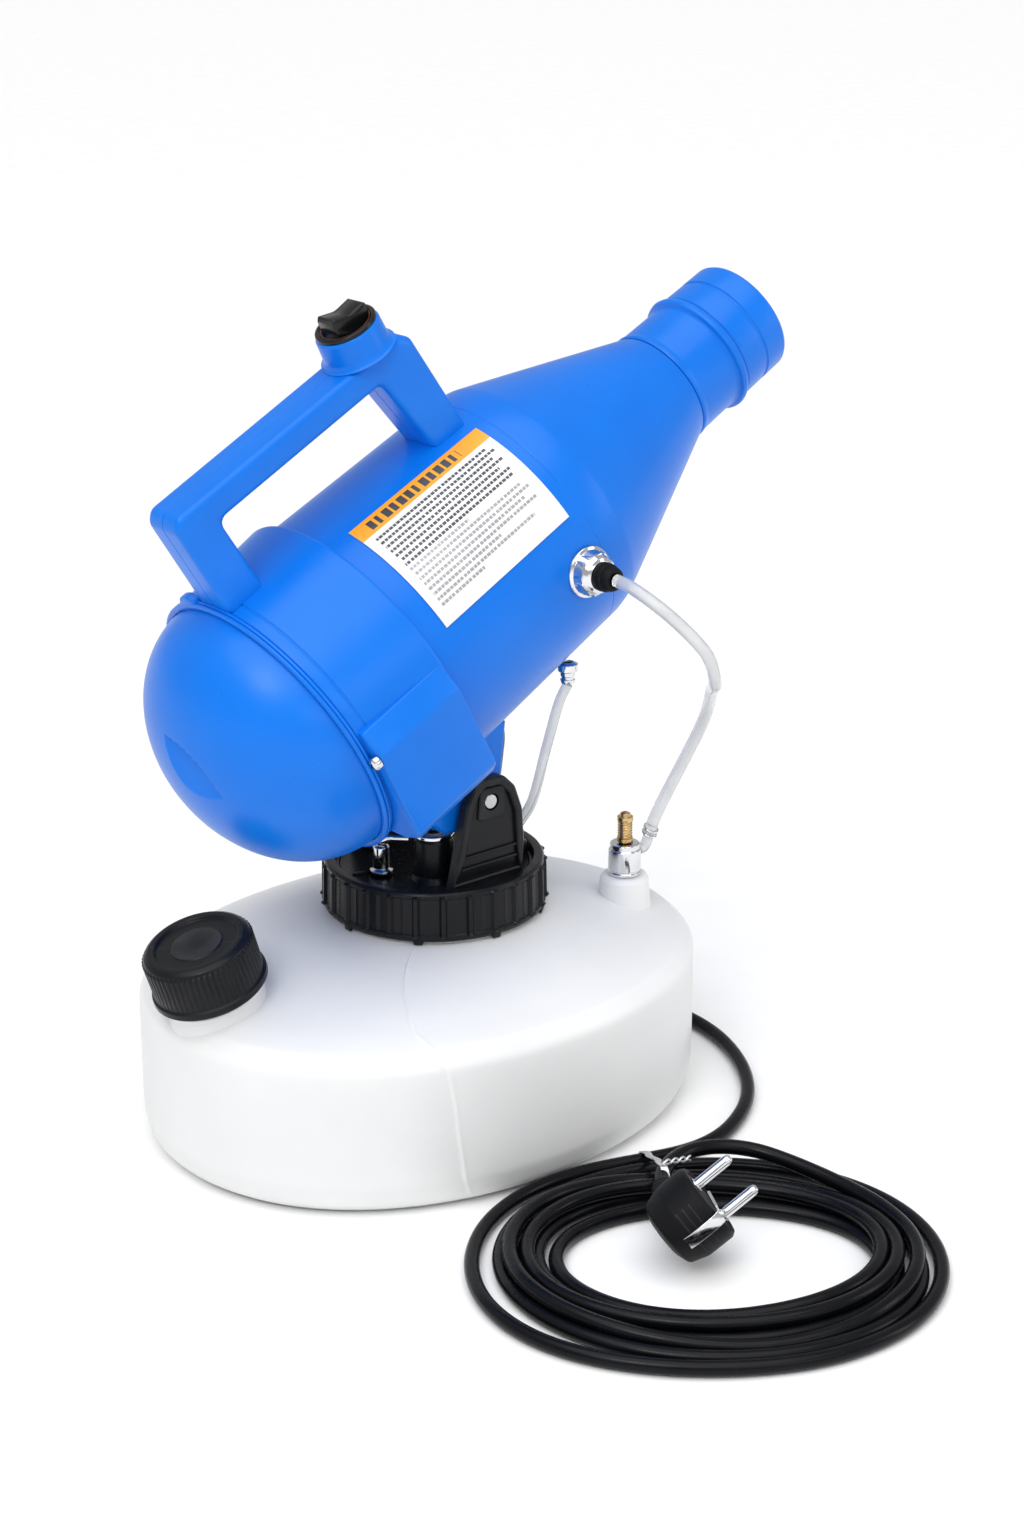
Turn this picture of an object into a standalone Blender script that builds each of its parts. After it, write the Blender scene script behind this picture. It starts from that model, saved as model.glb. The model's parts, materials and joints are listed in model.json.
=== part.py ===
"""Electrostatic disinfectant sprayer: a cold-fog blower head on an oval liquid tank.

Lengths in the constants are millimetres. The object's frame: +Z up, +X towards the
nozzle, origin at the centre of the tank's foot. The blower head has its own tilted
frame (s along its axis towards the nozzle, y sideways, h square to both, upwards).
"""
import math

import bmesh
import bpy
from mathutils import Vector

MM = 0.001

# ---------------------------------------------------------------- driving dimensions
TANK_AX, TANK_BY, TANK_N = 141.0, 113.0, 2.1     # half axes and exponent of the oval plan
TANK_SHOULDER_Z = 71.0
TANK_TOP_Z = 101.0
TANK_WALL = 2.6
COLLAR_X, COLLAR_R, COLLAR_Z0, COLLAR_Z1 = 8.25, 54.0, 101.8, 126.0
LID_Z = 122.2
HEAD_X, HEAD_Z, HEAD_TILT = -15.0, 244.2, 27.95  # a point of the head's axis, and its tilt in degrees
DOME_S0, DOME_S1, DOME_R = -127.0, -72.2, 67.0
JACKET_S0, JACKET_S1, JACKET_R0, JACKET_R1 = -71.9, -21.0, 69.0, 72.5
BARREL_S0, BARREL_R0, BARREL_S1, BARREL_R1 = -31.0, 68.3, 91.0, 64.7
NECK_S, NECK_R, TIP_S = 184.0, 29.4, 245.0
SHELL_WALL = 2.6
HANDLE_W = 12.0
FILLER_X, FILLER_Z, FILLER_LEAN = -117.0, 82.0, 18.0
OUTLET_X, OUTLET_Y = 99.0, -35.0
INLET_S, INLET_H = 68.0, -4.0
BOSS_S, BOSS_R = 46.0, 15.3
HOSE_D, AIR_HOSE_D, CORD_D = 6.0, 5.0, 7.0
COIL_X, COIL_Y, COIL_TURN, COIL_H = -5.0, -212.0, -39.6, 20.0   # centre, direction of the long axis, height
COIL_OUT, COIL_IN = (104.0, 93.5), (69.0, 53.0)                  # half axes outside and inside
GAP = 0.3

for stale in list(bpy.data.objects):
    bpy.data.objects.remove(stale, do_unlink=True)


# ---------------------------------------------------------------- materials
def material(name, colour, rough, metal=0.0, alpha=1.0):
    made = bpy.data.materials.new(name)
    made.use_nodes = True
    shader = made.node_tree.nodes["Principled BSDF"]
    shader.inputs["Base Color"].default_value = (*colour, 1.0)
    shader.inputs["Roughness"].default_value = rough
    shader.inputs["Metallic"].default_value = metal
    shader.inputs["Alpha"].default_value = alpha
    return made


BLUE = material("blue_shell", (0.008, 0.19, 0.84), 0.36)
WHITE = material("tank_hdpe", (0.86, 0.88, 0.89), 0.42)
BLACK = material("black_plastic", (0.012, 0.012, 0.014), 0.38)
SOFT_BLACK = material("black_rubber", (0.016, 0.016, 0.018), 0.6)
CORD_BLACK = material("cord_black", (0.010, 0.011, 0.015), 0.34)
CHROME = material("chrome", (0.80, 0.80, 0.80), 0.12, 1.0)
STEEL = material("steel", (0.55, 0.56, 0.57), 0.35, 1.0)
BRASS = material("brass", (0.62, 0.42, 0.18), 0.28, 1.0)
COPPER = material("copper", (0.72, 0.33, 0.16), 0.3, 1.0)
CLEAR = material("clear_pvc", (0.85, 0.88, 0.9), 0.12, 0.0, 0.5)
LABEL = material("label_film", (0.82, 0.82, 0.82), 0.45)
GREY = material("grey_plastic", (0.25, 0.26, 0.27), 0.5)
FOAM = material("tie_silver", (0.7, 0.7, 0.7), 0.3, 0.6)


# ---------------------------------------------------------------- frames and mesh builders
class Frame:
    """An origin with three square unit vectors: a along the axis, u and v across it."""

    def __init__(self, origin, a, u):
        self.o, self.a = Vector(origin), Vector(a).normalized()
        self.u = (Vector(u) - Vector(u).dot(self.a) * self.a).normalized()
        self.v = self.a.cross(self.u)

    def at(self, a, u=0.0, v=0.0):
        return self.o + self.a * a + self.u * u + self.v * v


tilt = math.radians(HEAD_TILT)
HEAD_AXIS = Vector((math.cos(tilt), 0, math.sin(tilt)))
HEAD_UP = Vector((-math.sin(tilt), 0, math.cos(tilt)))
HEAD = Frame((HEAD_X, 0, HEAD_Z), HEAD_AXIS, HEAD_UP)   # u is up, v is -Y
WORLD_UP = Vector((0, 0, 1))


def head(s, y, h):
    """The point at station s, offset y and height h of the head's frame."""
    return Vector((HEAD_X, y, HEAD_Z)) + HEAD_AXIS * s + HEAD_UP * h


def finish(name, bm, mat, origin=(0, 0, 0), angle=35):
    bmesh.ops.recalc_face_normals(bm, faces=bm.faces)
    origin = Vector(origin)
    for vert in bm.verts:
        vert.co = (vert.co - origin) * MM
    mesh = bpy.data.meshes.new(name)
    bm.to_mesh(mesh)
    bm.free()
    mesh.materials.append(mat)
    mesh.shade_smooth()
    mesh.set_sharp_from_angle(angle=math.radians(angle))
    made = bpy.data.objects.new(name, mesh)
    made.location = origin * MM
    bpy.context.scene.collection.objects.link(made)
    return made


def from_rings(name, rings, mat, loop=False, origin=(0, 0, 0), angle=35):
    """Joins rings of equal length. A ring of one point is a pole. loop joins the last to the first."""
    bm = bmesh.new()
    made = [[bm.verts.new(p) for p in ring] for ring in rings]
    pairs = list(zip(made, made[1:])) + ([(made[-1], made[0])] if loop else [])
    for low, high in pairs:
        count = max(len(low), len(high))
        for i in range(count):
            j = (i + 1) % count
            if len(low) == 1:
                bm.faces.new((low[0], high[i], high[j]))
            elif len(high) == 1:
                bm.faces.new((low[i], low[j], high[0]))
            else:
                bm.faces.new((low[i], low[j], high[j], high[i]))
    if not loop:
        for end in (made[0], made[-1]):
            if len(end) > 1:
                bm.faces.new(end)
    return finish(name, bm, mat, origin, angle)


def circle(frame, a, r, count, turn=0.0):
    if r <= 1e-6:
        return [frame.at(a)]
    return [
        frame.at(a, r * math.cos(turn + 2 * math.pi * i / count), r * math.sin(turn + 2 * math.pi * i / count))
        for i in range(count)
    ]


def lathe(name, frame, profile, mat, count=32, loop=False, origin=(0, 0, 0), angle=35, turn=0.0):
    """Turns (station, radius) points about the frame's axis. loop makes a ring of a closed profile."""
    return from_rings(name, [circle(frame, a, r, count, turn) for a, r in profile], mat, loop, origin, angle)


def rod(name, frame, a0, a1, r, mat, count=20, origin=(0, 0, 0), chamfer=0.0):
    if chamfer:
        profile = [(a0, r - chamfer), (a0 + chamfer, r), (a1 - chamfer, r), (a1, r - chamfer)]
    else:
        profile = [(a0, r), (a1, r)]
    return lathe(name, frame, profile, mat, count, origin=origin)


def tube(name, frame, a0, a1, r_in, r_out, mat, count=32, origin=(0, 0, 0)):
    return lathe(name, frame, [(a0, r_in), (a0, r_out), (a1, r_out), (a1, r_in)], mat, count, True, origin)


def prism(name, points, direction, length, mat, origin=(0, 0, 0)):
    """Extrudes a flat outline of 3-D points along a direction."""
    step = Vector(direction).normalized() * length
    return from_rings(name, [points, [p + step for p in points]], mat, origin=origin)


def helper(made):
    made.hide_render = True
    made.display_type = "WIRE"
    return made


def boolean(target, tool, operation="DIFFERENCE"):
    modifier = target.modifiers.new(operation.lower(), "BOOLEAN")
    modifier.operation = operation
    modifier.solver = "EXACT"
    modifier.object = helper(tool)
    return modifier


def smooth_route(points, step):
    """Points spaced by step along a centripetal Catmull-Rom curve through the given ones."""
    pts = [Vector(p) for p in points]
    pts = [2 * pts[0] - pts[1]] + pts + [2 * pts[-1] - pts[-2]]
    dense = []
    for p0, p1, p2, p3 in zip(pts, pts[1:], pts[2:], pts[3:]):
        t0 = 0.0
        t1 = t0 + (p1 - p0).length ** 0.5
        t2 = t1 + (p2 - p1).length ** 0.5
        t3 = t2 + (p3 - p2).length ** 0.5
        for i in range(24):
            t = t1 + (t2 - t1) * i / 24
            a1 = p0 * ((t1 - t) / (t1 - t0)) + p1 * ((t - t0) / (t1 - t0))
            a2 = p1 * ((t2 - t) / (t2 - t1)) + p2 * ((t - t1) / (t2 - t1))
            a3 = p2 * ((t3 - t) / (t3 - t2)) + p3 * ((t - t2) / (t3 - t2))
            b1 = a1 * ((t2 - t) / (t2 - t0)) + a2 * ((t - t0) / (t2 - t0))
            b2 = a2 * ((t3 - t) / (t3 - t1)) + a3 * ((t - t1) / (t3 - t1))
            dense.append(b1 * ((t2 - t) / (t2 - t1)) + b2 * ((t - t1) / (t2 - t1)))
    dense.append(pts[-2])
    total = sum((b - a).length for a, b in zip(dense, dense[1:]))
    count = max(2, round(total / step))
    out, walked, target, i = [dense[0]], 0.0, total / count, 0
    for a, b in zip(dense, dense[1:]):
        length = (b - a).length
        while walked + length >= target * len(out) - 1e-9 and len(out) < count:
            out.append(a.lerp(b, (target * len(out) - walked) / length))
        walked += length
    return out + [dense[-1]]


def cable(name, points, diameter, mat, sides=2):
    data = bpy.data.curves.new(name, "CURVE")
    data.dimensions = "3D"
    spline = data.splines.new("POLY")
    spline.points.add(len(points) - 1)
    for point, at in zip(spline.points, points):
        point.co = (*(at * MM), 1.0)
    data.bevel_depth = diameter / 2 * MM
    data.bevel_resolution = sides
    data.use_fill_caps = True
    data.render_resolution_u = 0
    data.materials.append(mat)
    made = bpy.data.objects.new(name, data)
    bpy.context.scene.collection.objects.link(made)
    return made


# ---------------------------------------------------------------- tank
def oval(z, inset, count=34, n=TANK_N):
    out = []
    for i in range(count):
        angle = 2 * math.pi * i / count
        c, s = math.cos(angle), math.sin(angle)
        out.append(Vector((
            (TANK_AX - inset) * math.copysign(abs(c) ** (2 / n), c),
            (TANK_BY - inset) * math.copysign(abs(s) ** (2 / n), s),
            z,
        )))
    return out


def towards_neck(z, inset, share, radius, count=34):
    """A ring between the inset oval and the neck's circle."""
    out = []
    for i, p in enumerate(oval(z, inset, count)):
        angle = 2 * math.pi * i / count
        q = Vector((COLLAR_X + radius * math.cos(angle), radius * math.sin(angle), z))
        out.append(p.lerp(q, share))
    return out


NECK = Frame((COLLAR_X, 0, 0), WORLD_UP, (1, 0, 0))
tank = from_rings("tank_shell", [
    oval(0, 12), oval(4, 4), oval(13, 0), oval(TANK_SHOULDER_Z - 3, 0),
    oval(TANK_SHOULDER_Z + 5, 2.5), oval(TANK_SHOULDER_Z + 10.5, 10), towards_neck(TANK_TOP_Z - 1, 10, 1.0, 51.5),
], WHITE)
boolean(tank, rod("cut_neck_out", NECK, 90, 116.6, 49.2, WHITE, 36), "UNION")
lean = math.radians(FILLER_LEAN)
FILLER = Frame((FILLER_X, 0, FILLER_Z), (-math.sin(lean), 0, math.cos(lean)), (0, 1, 0))
boolean(tank, rod("cut_filler_out", FILLER, -8, 32, 22.0, WHITE, 32), "UNION")
OUTLET = Frame((OUTLET_X, OUTLET_Y, 0), WORLD_UP, (1, 0, 0))
boolean(tank, lathe("cut_boss_out", OUTLET, [(78, 13.0), (88, 12.2), (101.6, 11.8), (102.5, 11.0)], WHITE, 32), "UNION")
W = TANK_WALL
cavity = from_rings("cut_cavity", [
    oval(W, 15), oval(14, W), oval(TANK_SHOULDER_Z - 4, W), oval(TANK_SHOULDER_Z + 7, 13),
    towards_neck(TANK_TOP_Z - 3.6, 13, 1.0, 46),
], WHITE)
boolean(tank, cavity)
boolean(tank, rod("cut_neck_in", NECK, 90, 118, 44.5, WHITE, 36))
boolean(tank, rod("cut_filler_in", FILLER, -12, 34, 18.0, WHITE, 32))
boolean(tank, rod("cut_boss_in", OUTLET, 70, 104, 4.2, WHITE, 20))

tube("head_gasket", NECK, 116.9, 118.2, 44.8, 49.2, SOFT_BLACK, 36)


lathe("collar_ring", NECK, [
    (COLLAR_Z0, 53.6), (COLLAR_Z1 - 2.2, COLLAR_R), (COLLAR_Z1, 52.2), (COLLAR_Z1, 46.6), (LID_Z + GAP, 46.6),
    (LID_Z + GAP, 50.2), (COLLAR_Z0, 50.2),
], BLACK, 36, True, origin=(COLLAR_X, 0, 110), angle=30)

# ---------------------------------------------------------------- filler cap on the tank
lathe("filler_cap", FILLER, [
    (36.4, 0), (36.4, 19.8), (37.2, 20.5), (37, 23.6), (34.5, 25.6), (15, 26.2), (14.5, 26.9), (12, 26.6), (12, 22.5),
    (34.1, 22.5), (34.1, 0),
], BLACK, 28, origin=FILLER.at(20))
rod("filler_cap_liner", FILLER, 32.3, 33.8, 21.5, WHITE, 32, origin=FILLER.at(33))

# ---------------------------------------------------------------- outlet valve on the tank
SLEEVE_TOP = 119.0
tube("outlet_sleeve", OUTLET, 102.8, SLEEVE_TOP, 3.3, 8.0, CHROME, 20)
lathe("valve_stem", OUTLET, [(112, 2.9), (120, 2.9), (120, 3.7), (131, 3.7), (131.6, 3.1), (134, 3.1), (134.6, 2.4)],
      BRASS, 20, origin=(OUTLET_X, OUTLET_Y, 120))
lathe("dip_tube", OUTLET, [(6, 5.5), (8, 7), (19, 7), (22, 3.4), (102.5, 3.4)], CLEAR, 14)
elbow_start = Vector((OUTLET_X + 8.6, OUTLET_Y - 1.0, 113.5))
hose_foot = Vector((112.2, -38.0, 121.0))
ELBOW_UP = Vector((0.10, -0.30, 0.94)).normalized()
cable("outlet_elbow", smooth_route([
    elbow_start, elbow_start + Vector((2.4, -0.4, 0.4)), Vector((111.2, -36.9, 115.9)), hose_foot - ELBOW_UP * 0.1,
], 2.2), 5.4, CLEAR, 2)

# ---------------------------------------------------------------- lid with its fork
plate = lathe("head_plate", NECK, [(118.5, 49.2), (LID_Z, 49.2)], BLACK, 36)


def upright(outline, y):
    return [Vector((x, y, z)) for x, z in outline]


FORK = [(-12.5, 120.5), (-8.5, 138), (-3.0, 163), (1.5, 171), (6.5, 174.5), (18.5, 174.2), (25.5, 167), (30.2, 155),
        (31.2, 138), (29.5, 120.5)]
for side, y in (("near", -40.0), ("far", 34.0)):
    boolean(plate, prism("cut_fork_" + side, upright(FORK, y), (0, 1, 0), 6.0, BLACK), "UNION")
PILLAR = Frame((-4.5, -16.0, 0), WORLD_UP, (1, 0, 0))
boolean(plate, rod("cut_pillar", PILLAR, 120.5, 142.6, 9.2, BLACK, 24), "UNION")
SPIGOT = Frame((46.0, -16.0, 0), WORLD_UP, (1, 0, 0))
boolean(plate, lathe("cut_spigot", SPIGOT, [(120.5, 5.0), (127.5, 5.0), (129.0, 3.6), (134.0, 3.4)], BLACK, 16), "UNION")
tube("pillar_washer", PILLAR, 142.9, 144.9, 3.0, 9.6, CHROME, 20)

# the relief tap
TAP = Frame((-21.0, 3.0, 0), WORLD_UP, (1, 0, 0))
lathe("tap_stud", TAP, [(122.5, 5.3), (124.4, 5.3), (124.4, 3.6), (136.2, 3.6), (136.2, 2.4), (137.0, 2.4)], CHROME, 24)
LEVER_OUT = Vector((0.77, -0.64, 0))
LEVER_SIDE = Vector((0.64, 0.77, 0))


def lever_ring(reach, half, z0, z1):
    base = Vector((-21.0, 3.0, 0)) + LEVER_OUT * reach
    return [base + LEVER_SIDE * -half + Vector((0, 0, z0)), base + LEVER_SIDE * half + Vector((0, 0, z0)),
            base + LEVER_SIDE * half + Vector((0, 0, z1)), base + LEVER_SIDE * -half + Vector((0, 0, z1))]


from_rings("tap_lever", [lever_ring(-3.2, 2.6, 137.3, 141.3), lever_ring(2.6, 3.0, 137.3, 141.3),
                         lever_ring(6.0, 1.9, 138.0, 141.0), lever_ring(13.6, 1.8, 138.0, 140.8)],
           CHROME, origin=(-21.0, 3.0, 139))


# ---------------------------------------------------------------- blower head shells
def dome_profile(inset=0.0, steps=6):
    depth, radius = DOME_S1 - DOME_S0 - inset, DOME_R - inset
    return [(DOME_S1 - depth * math.cos(i * math.pi / 2 / steps), radius * math.sin(i * math.pi / 2 / steps))
            for i in range(steps + 1)]


outer, inner = dome_profile(), dome_profile(SHELL_WALL)
lathe("rear_dome", HEAD, outer + inner[::-1], BLUE, 32)
tube("seam_ring", HEAD, -75.6, -72.3, 67.35, 69.6, BLUE, 36)


def jacket_r(s):
    t = (s - JACKET_S0) / (JACKET_S1 - JACKET_S0)
    return JACKET_R0 + (JACKET_R1 - JACKET_R0) * min(1, max(0, t)) ** 0.8


def barrel_r(s):
    return BARREL_R0 + (BARREL_R1 - BARREL_R0) * (s - BARREL_S0) / (BARREL_S1 - BARREL_S0)


jacket = lathe("jacket_shell", HEAD, [(JACKET_S0, JACKET_R0)] + [(s, jacket_r(s)) for s in (-62, -48, -34)]
               + [(JACKET_S1 - 1.2, JACKET_R1), (JACKET_S1, JACKET_R1 - 1.0)], BLUE, 36)
BLOCK = [(70.6, 16.5), (77, 5), (77, -40), (72, -46), (60, -50), (-60, -50), (-72, -46), (-77, -40), (-77, 5), (-70.6, 16.5)]
boolean(jacket, prism("cut_block", [head(-71.0, y, h) for y, h in BLOCK], HEAD_AXIS, 49.4, BLUE), "UNION")
boolean(jacket, lathe("cut_jacket_in", HEAD, [(-80, 66.4), (-32, 66.4), (-32, 68.9), (-10, 68.9)], BLUE, 36))

front = lathe("front_shell", HEAD, [
    (BARREL_S0, BARREL_R0), (BARREL_S1 - 8, barrel_r(BARREL_S1 - 8)), (BARREL_S1 + 2, 64.0), (BARREL_S1 + 12, 60.7),
    (NECK_S, NECK_R), (NECK_S, NECK_R - SHELL_WALL), (BARREL_S1 + 10, 58.5), (BARREL_S1, 61.9),
    (BARREL_S1 - 8, barrel_r(BARREL_S1 - 8) - SHELL_WALL), (BARREL_S0, BARREL_R0 - SHELL_WALL),
], BLUE, 32, True)
INLET = Frame(head(INLET_S, 0, INLET_H), (0, -1, 0), WORLD_UP)
boolean(front, rod("cut_inlet", INLET, 55, 72, 4.2, BLUE, 20))
GLAND = Frame(head(30, 8, 0), -HEAD_UP, (0, 1, 0))
boolean(front, rod("cut_gland", GLAND, 58, 74, 6.3, BLUE, 20))

lathe("nozzle_sleeve", HEAD, [
    (184.3, 29.4), (210.5, 28.9), (211.3, 30.9), (213, 31.5), (214.8, 30.9), (215.6, 29.7), (216, 29.7),
    (216, 26.9), (184.3, 26.8),
], BLUE, 32, True)
lathe("nozzle_tip", HEAD, [
    (216.3, 29.7), (229.8, 29.5), (230.2, 28.9), (231.2, 28.9), (231.6, 29.6), (243.8, 29.4), (TIP_S, 28.4),
    (TIP_S, 27.2), (216.3, 27.0),
], BLUE, 32, True)

# saddle under the head, held between the fork's cheeks
SADDLE = [(-27, 168), (-22, 160), (-9, 148), (5, 147), (20, 158), (31, 172), (36, 196), (-20, 196)]
saddle = prism("body_saddle", upright(SADDLE, -31.0), (0, 1, 0), 62.0, BLUE)
boolean(saddle, lathe("cut_saddle_top", HEAD, [(-90, 70.4), (-62, 71.2), (-34, 73.0), (-20.5, 73.0), (-20.5, 68.7), (60, 68.7)], BLUE, 36))
BOLT = Frame((12.0, 0, 162.0), (0, -1, 0), (1, 0, 0))
boolean(saddle, rod("cut_saddle_bolt", BOLT, -40, 40, 4.4, BLUE, 20))
boolean(plate, rod("cut_fork_bolt", BOLT, -45, 45, 4.4, BLACK, 20))
rod("yoke_bolt", BOLT, -41.5, 39.0, 4.0, STEEL, 20)

# ---------------------------------------------------------------- handle
def outer_r(s):
    return jacket_r(s) if s < JACKET_S1 else barrel_r(s)


def handle_section(y, inset):
    def foot(s):
        return (s, math.sqrt((outer_r(s) + 0.35) ** 2 - y * y))
    i = inset
    outline = [foot(-72.0 + i), (-75.5 + i, 115.0), (-71.5 + i, 121.0 - i), (62.0 - i, 121.0 - i), (66.5 - i, 116.5 - i),
               foot(72.5 - i), foot(54.0 + i), (43.5 + i, 107.0 + i), (-55.5 - i, 107.0 + i), foot(-52.5 - i)]
    return [head(s, y, h) for s, h in outline]


for side, sign in (("near", -1), ("far", 1)):
    from_rings("handle_half_" + side, [handle_section(sign * y, i) for y, i in ((0.15, 0.0), (8.5, 0.0), (11.0, 1.2), (HANDLE_W, 3.4))],
               BLUE, angle=25)

# ---------------------------------------------------------------- switch on the handle
SWITCH = Frame(head(BOSS_S, 0, 0), HEAD_UP, HEAD_AXIS)
tube("switch_boss", SWITCH, 121.4, 135.0, 12.6, BOSS_R, BLUE, 36)
tube("switch_bezel", SWITCH, 135.3, 136.5, 12.0, 14.7, BLACK, 32)
rod("switch_body", SWITCH, 121.7, 131.6, 12.2, BLACK, 24)
ROCKER_PIVOT = 134.5
rock = math.radians(-8.0)
ROCKER = [(-9.4, 1.2), (0, -1.6), (9.4, 1.2), (9.7, 7.0), (8.6, 8.4), (0, 6.8), (-8.6, 8.4), (-9.7, 7.0)]


def rocker_ring(y, shrink):
    out = []
    for x, z in ROCKER:
        x, z = x * shrink, z - (0.6 if shrink < 1 and z > 2 else 0)
        s = x * math.cos(rock) - z * math.sin(rock)
        h = x * math.sin(rock) + z * math.cos(rock)
        out.append(head(BOSS_S + s, y, ROCKER_PIVOT + h))
    return out


from_rings("rocker", [rocker_ring(-6.1, 0.94), rocker_ring(-5.5, 1), rocker_ring(5.5, 1), rocker_ring(6.1, 0.94)],
           BLACK, origin=head(BOSS_S, 0, ROCKER_PIVOT))

# ---------------------------------------------------------------- label on the barrel
def label_ring(lift, steps=8):
    out = []
    for i in range(steps + 1):
        angle = math.radians(16.5 + (69.5 - 16.5) * i / steps)
        out.append(angle)
    low = [head(-8.0, -(barrel_r(-8) + lift) * math.sin(a), (barrel_r(-8) + lift) * math.cos(a)) for a in out]
    high = [head(73.0, -(barrel_r(73) + lift) * math.sin(a), (barrel_r(73) + lift) * math.cos(a)) for a in out]
    return low, high


low0, high0 = label_ring(0.3)
low1, high1 = label_ring(0.7)
from_rings("label", [[a, b, c, d] for a, b, c, d in zip(low0, high0, high1, low1)], LABEL)

# ---------------------------------------------------------------- liquid inlet and hoses
lathe("inlet_nut", INLET, [
    (59, 3.6), (65.9, 3.6), (65.9, 10.6), (69.5, 10.2), (72.5, 8.6), (75.2, 6.6),
], CHROME, 20)
lathe("inlet_grommet", INLET, [(75.5, 6.4), (79.5, 6.4), (80, 5.4), (84.2, 5.0)], SOFT_BLACK, 24)
HOSE_ROUTE = [
    INLET.at(84.8), Vector((47.2, -92.0, 271.9)), Vector((49.0, -104.8, 267.6)), Vector((55.4, -115.4, 258.9)),
    Vector((69.5, -120.0, 242.6)), Vector((87.4, -107.7, 221.6)), Vector((101.8, -90.6, 210.8)), Vector((122.6, -62.6, 182.0)), hose_foot + ELBOW_UP * 10,
    hose_foot + ELBOW_UP * 0.6,
]
cable("feed_hose", smooth_route(HOSE_ROUTE, 12), HOSE_D, CLEAR, 2)
AIR = Frame(head(58, -33.0, -57.5), Vector((0, 0, -1)), (1, 0, 0))  # straight down from the barrel
lathe("air_fitting", AIR, [(4.6, 4.6), (8.0, 4.6), (8.0, 3.6), (12.0, 3.4)], CHROME, 6)
AIR_ROUTE = [AIR.at(13.4), Vector((60.4, -30.9, 199.5)), Vector((55.4, -27.2, 176.2)), Vector((50.6, -21.6, 147.0)), Vector((46.4, -16.6, 135.6))]
cable("air_hose", smooth_route(AIR_ROUTE, 10.0), AIR_HOSE_D, CLEAR, 2)

# ---------------------------------------------------------------- motor, fan and nozzle core
lathe("motor_case", HEAD, [(-112, 10.5), (-112, 38), (-40, 38), (-40, 36), (-110, 36), (-110, 10.5)], STEEL, 24, True)
tube("stator", HEAD, -88, -56, 26.5, 35.7, STEEL, 24)
tube("armature", HEAD, -87, -57, 4.3, 24.0, STEEL, 20)
tube("commutator", HEAD, -104, -93, 4.3, 12.0, COPPER, 24)
rod("motor_shaft", HEAD, -118, 16, 4.0, STEEL, 16)
tube("rear_bearing", HEAD, -111.8, -105, 4.25, 10.2, STEEL, 24)
lathe("front_bracket", HEAD, [(-39.7, 11.3), (-39.7, 44), (-36, 44), (-36, 11.3)], GREY, 24, True)
tube("front_bearing", HEAD, -41, -34.5, 4.25, 11.0, STEEL, 24)
for side, sign in (("near", -1), ("far", 1)):
    brush = Frame(head(-98.5, 0, 0), (0, sign, 0), HEAD_AXIS)
    lathe("carbon_brush_" + side, brush, [(12.6, 4.4), (35.1, 4.4)], GREY, 4)
lathe("mount_ring", HEAD, [(-66, 38.4), (-66, 66.0), (-62, 66.0), (-62, 44), (-58, 42), (-58, 38.4)], SOFT_BLACK, 28, True)
lathe("fan_shroud", HEAD, [(-29, 40), (-29, 64.8), (14, 63.4), (14, 61.5), (-26.5, 62.0), (-26.5, 40)], GREY, 28, True)


def pinwheel(frame, a, arms, r_hub, r_tip, thick, sweep):
    """A hub outline with curved arms, as one closed polygon."""
    out = []
    steps = 3
    for k in range(arms):
        base = 2 * math.pi * k / arms
        lead, trail = [], []
        for i in range(steps + 1):
            t = i / steps
            r = r_hub + (r_tip - r_hub) * t
            mid = base + sweep * t
            half = thick / 2 / r
            lead.append((r, mid - half))
            trail.append((r, mid + half))
        out += lead + trail[::-1]
        out.append((r_hub, base + math.pi / arms))
    return [frame.at(a, r * math.cos(t), r * math.sin(t)) for r, t in out]


fan = from_rings("impeller", [pinwheel(HEAD, -17, 7, 11, 54, 2.4, 0.9), pinwheel(HEAD, -3, 7, 11, 54, 2.4, 0.9)], GREY, angle=30)
boolean(fan, lathe("cut_fan_plate", HEAD, [(-4.2, 56), (-1.8, 56), (-1.8, 14), (8, 12)], GREY, 40), "UNION")
boolean(fan, rod("cut_fan_bore", HEAD, -30, 20, 4.3, GREY, 24))

core = from_rings("swirl_core", [pinwheel(HEAD, 190, 8, 8, 26.2, 1.8, 0.0), pinwheel(HEAD, 206, 8, 8, 26.2, 1.8, 0.0)], BLACK, angle=30)
boolean(core, rod("cut_core_bore", HEAD, 180, 215, 3.4, BLACK, 20))
cable("liquid_line", smooth_route([
    INLET.at(58.6), INLET.at(48), head(72, -25, -3), head(86, -8, -1), head(104, 0, 0), head(130, 0, 0), head(160, 0, 0), head(183, 0, 0),
    head(204, 0, 0),
], 9), 5.0, CLEAR, 2)
lathe("liquid_jet", HEAD, [(204.4, 0), (204.4, 3.0), (212, 3.0), (218, 2.0), (218, 1.0), (209, 1.0), (209, 0)], BRASS, 20)
tube("electrode_ring", HEAD, 236, 238.4, 24.4, 26.6, BRASS, 36)
hv = [head(40, y, h) for y, h in ((-16, 24), (16, 24), (16, 46), (-16, 46))]
prism("hv_module", hv, HEAD_AXIS, 42, BLACK)

# ---------------------------------------------------------------- screws of the side block
screw = Frame(head(-74.6, -73.6, 2.5), HEAD_AXIS, (0, 1, 0))
lathe("block_screw", screw, [(0, 1.6), (0.9, 2.9), (3.3, 3.2)], STEEL, 16)

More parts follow.
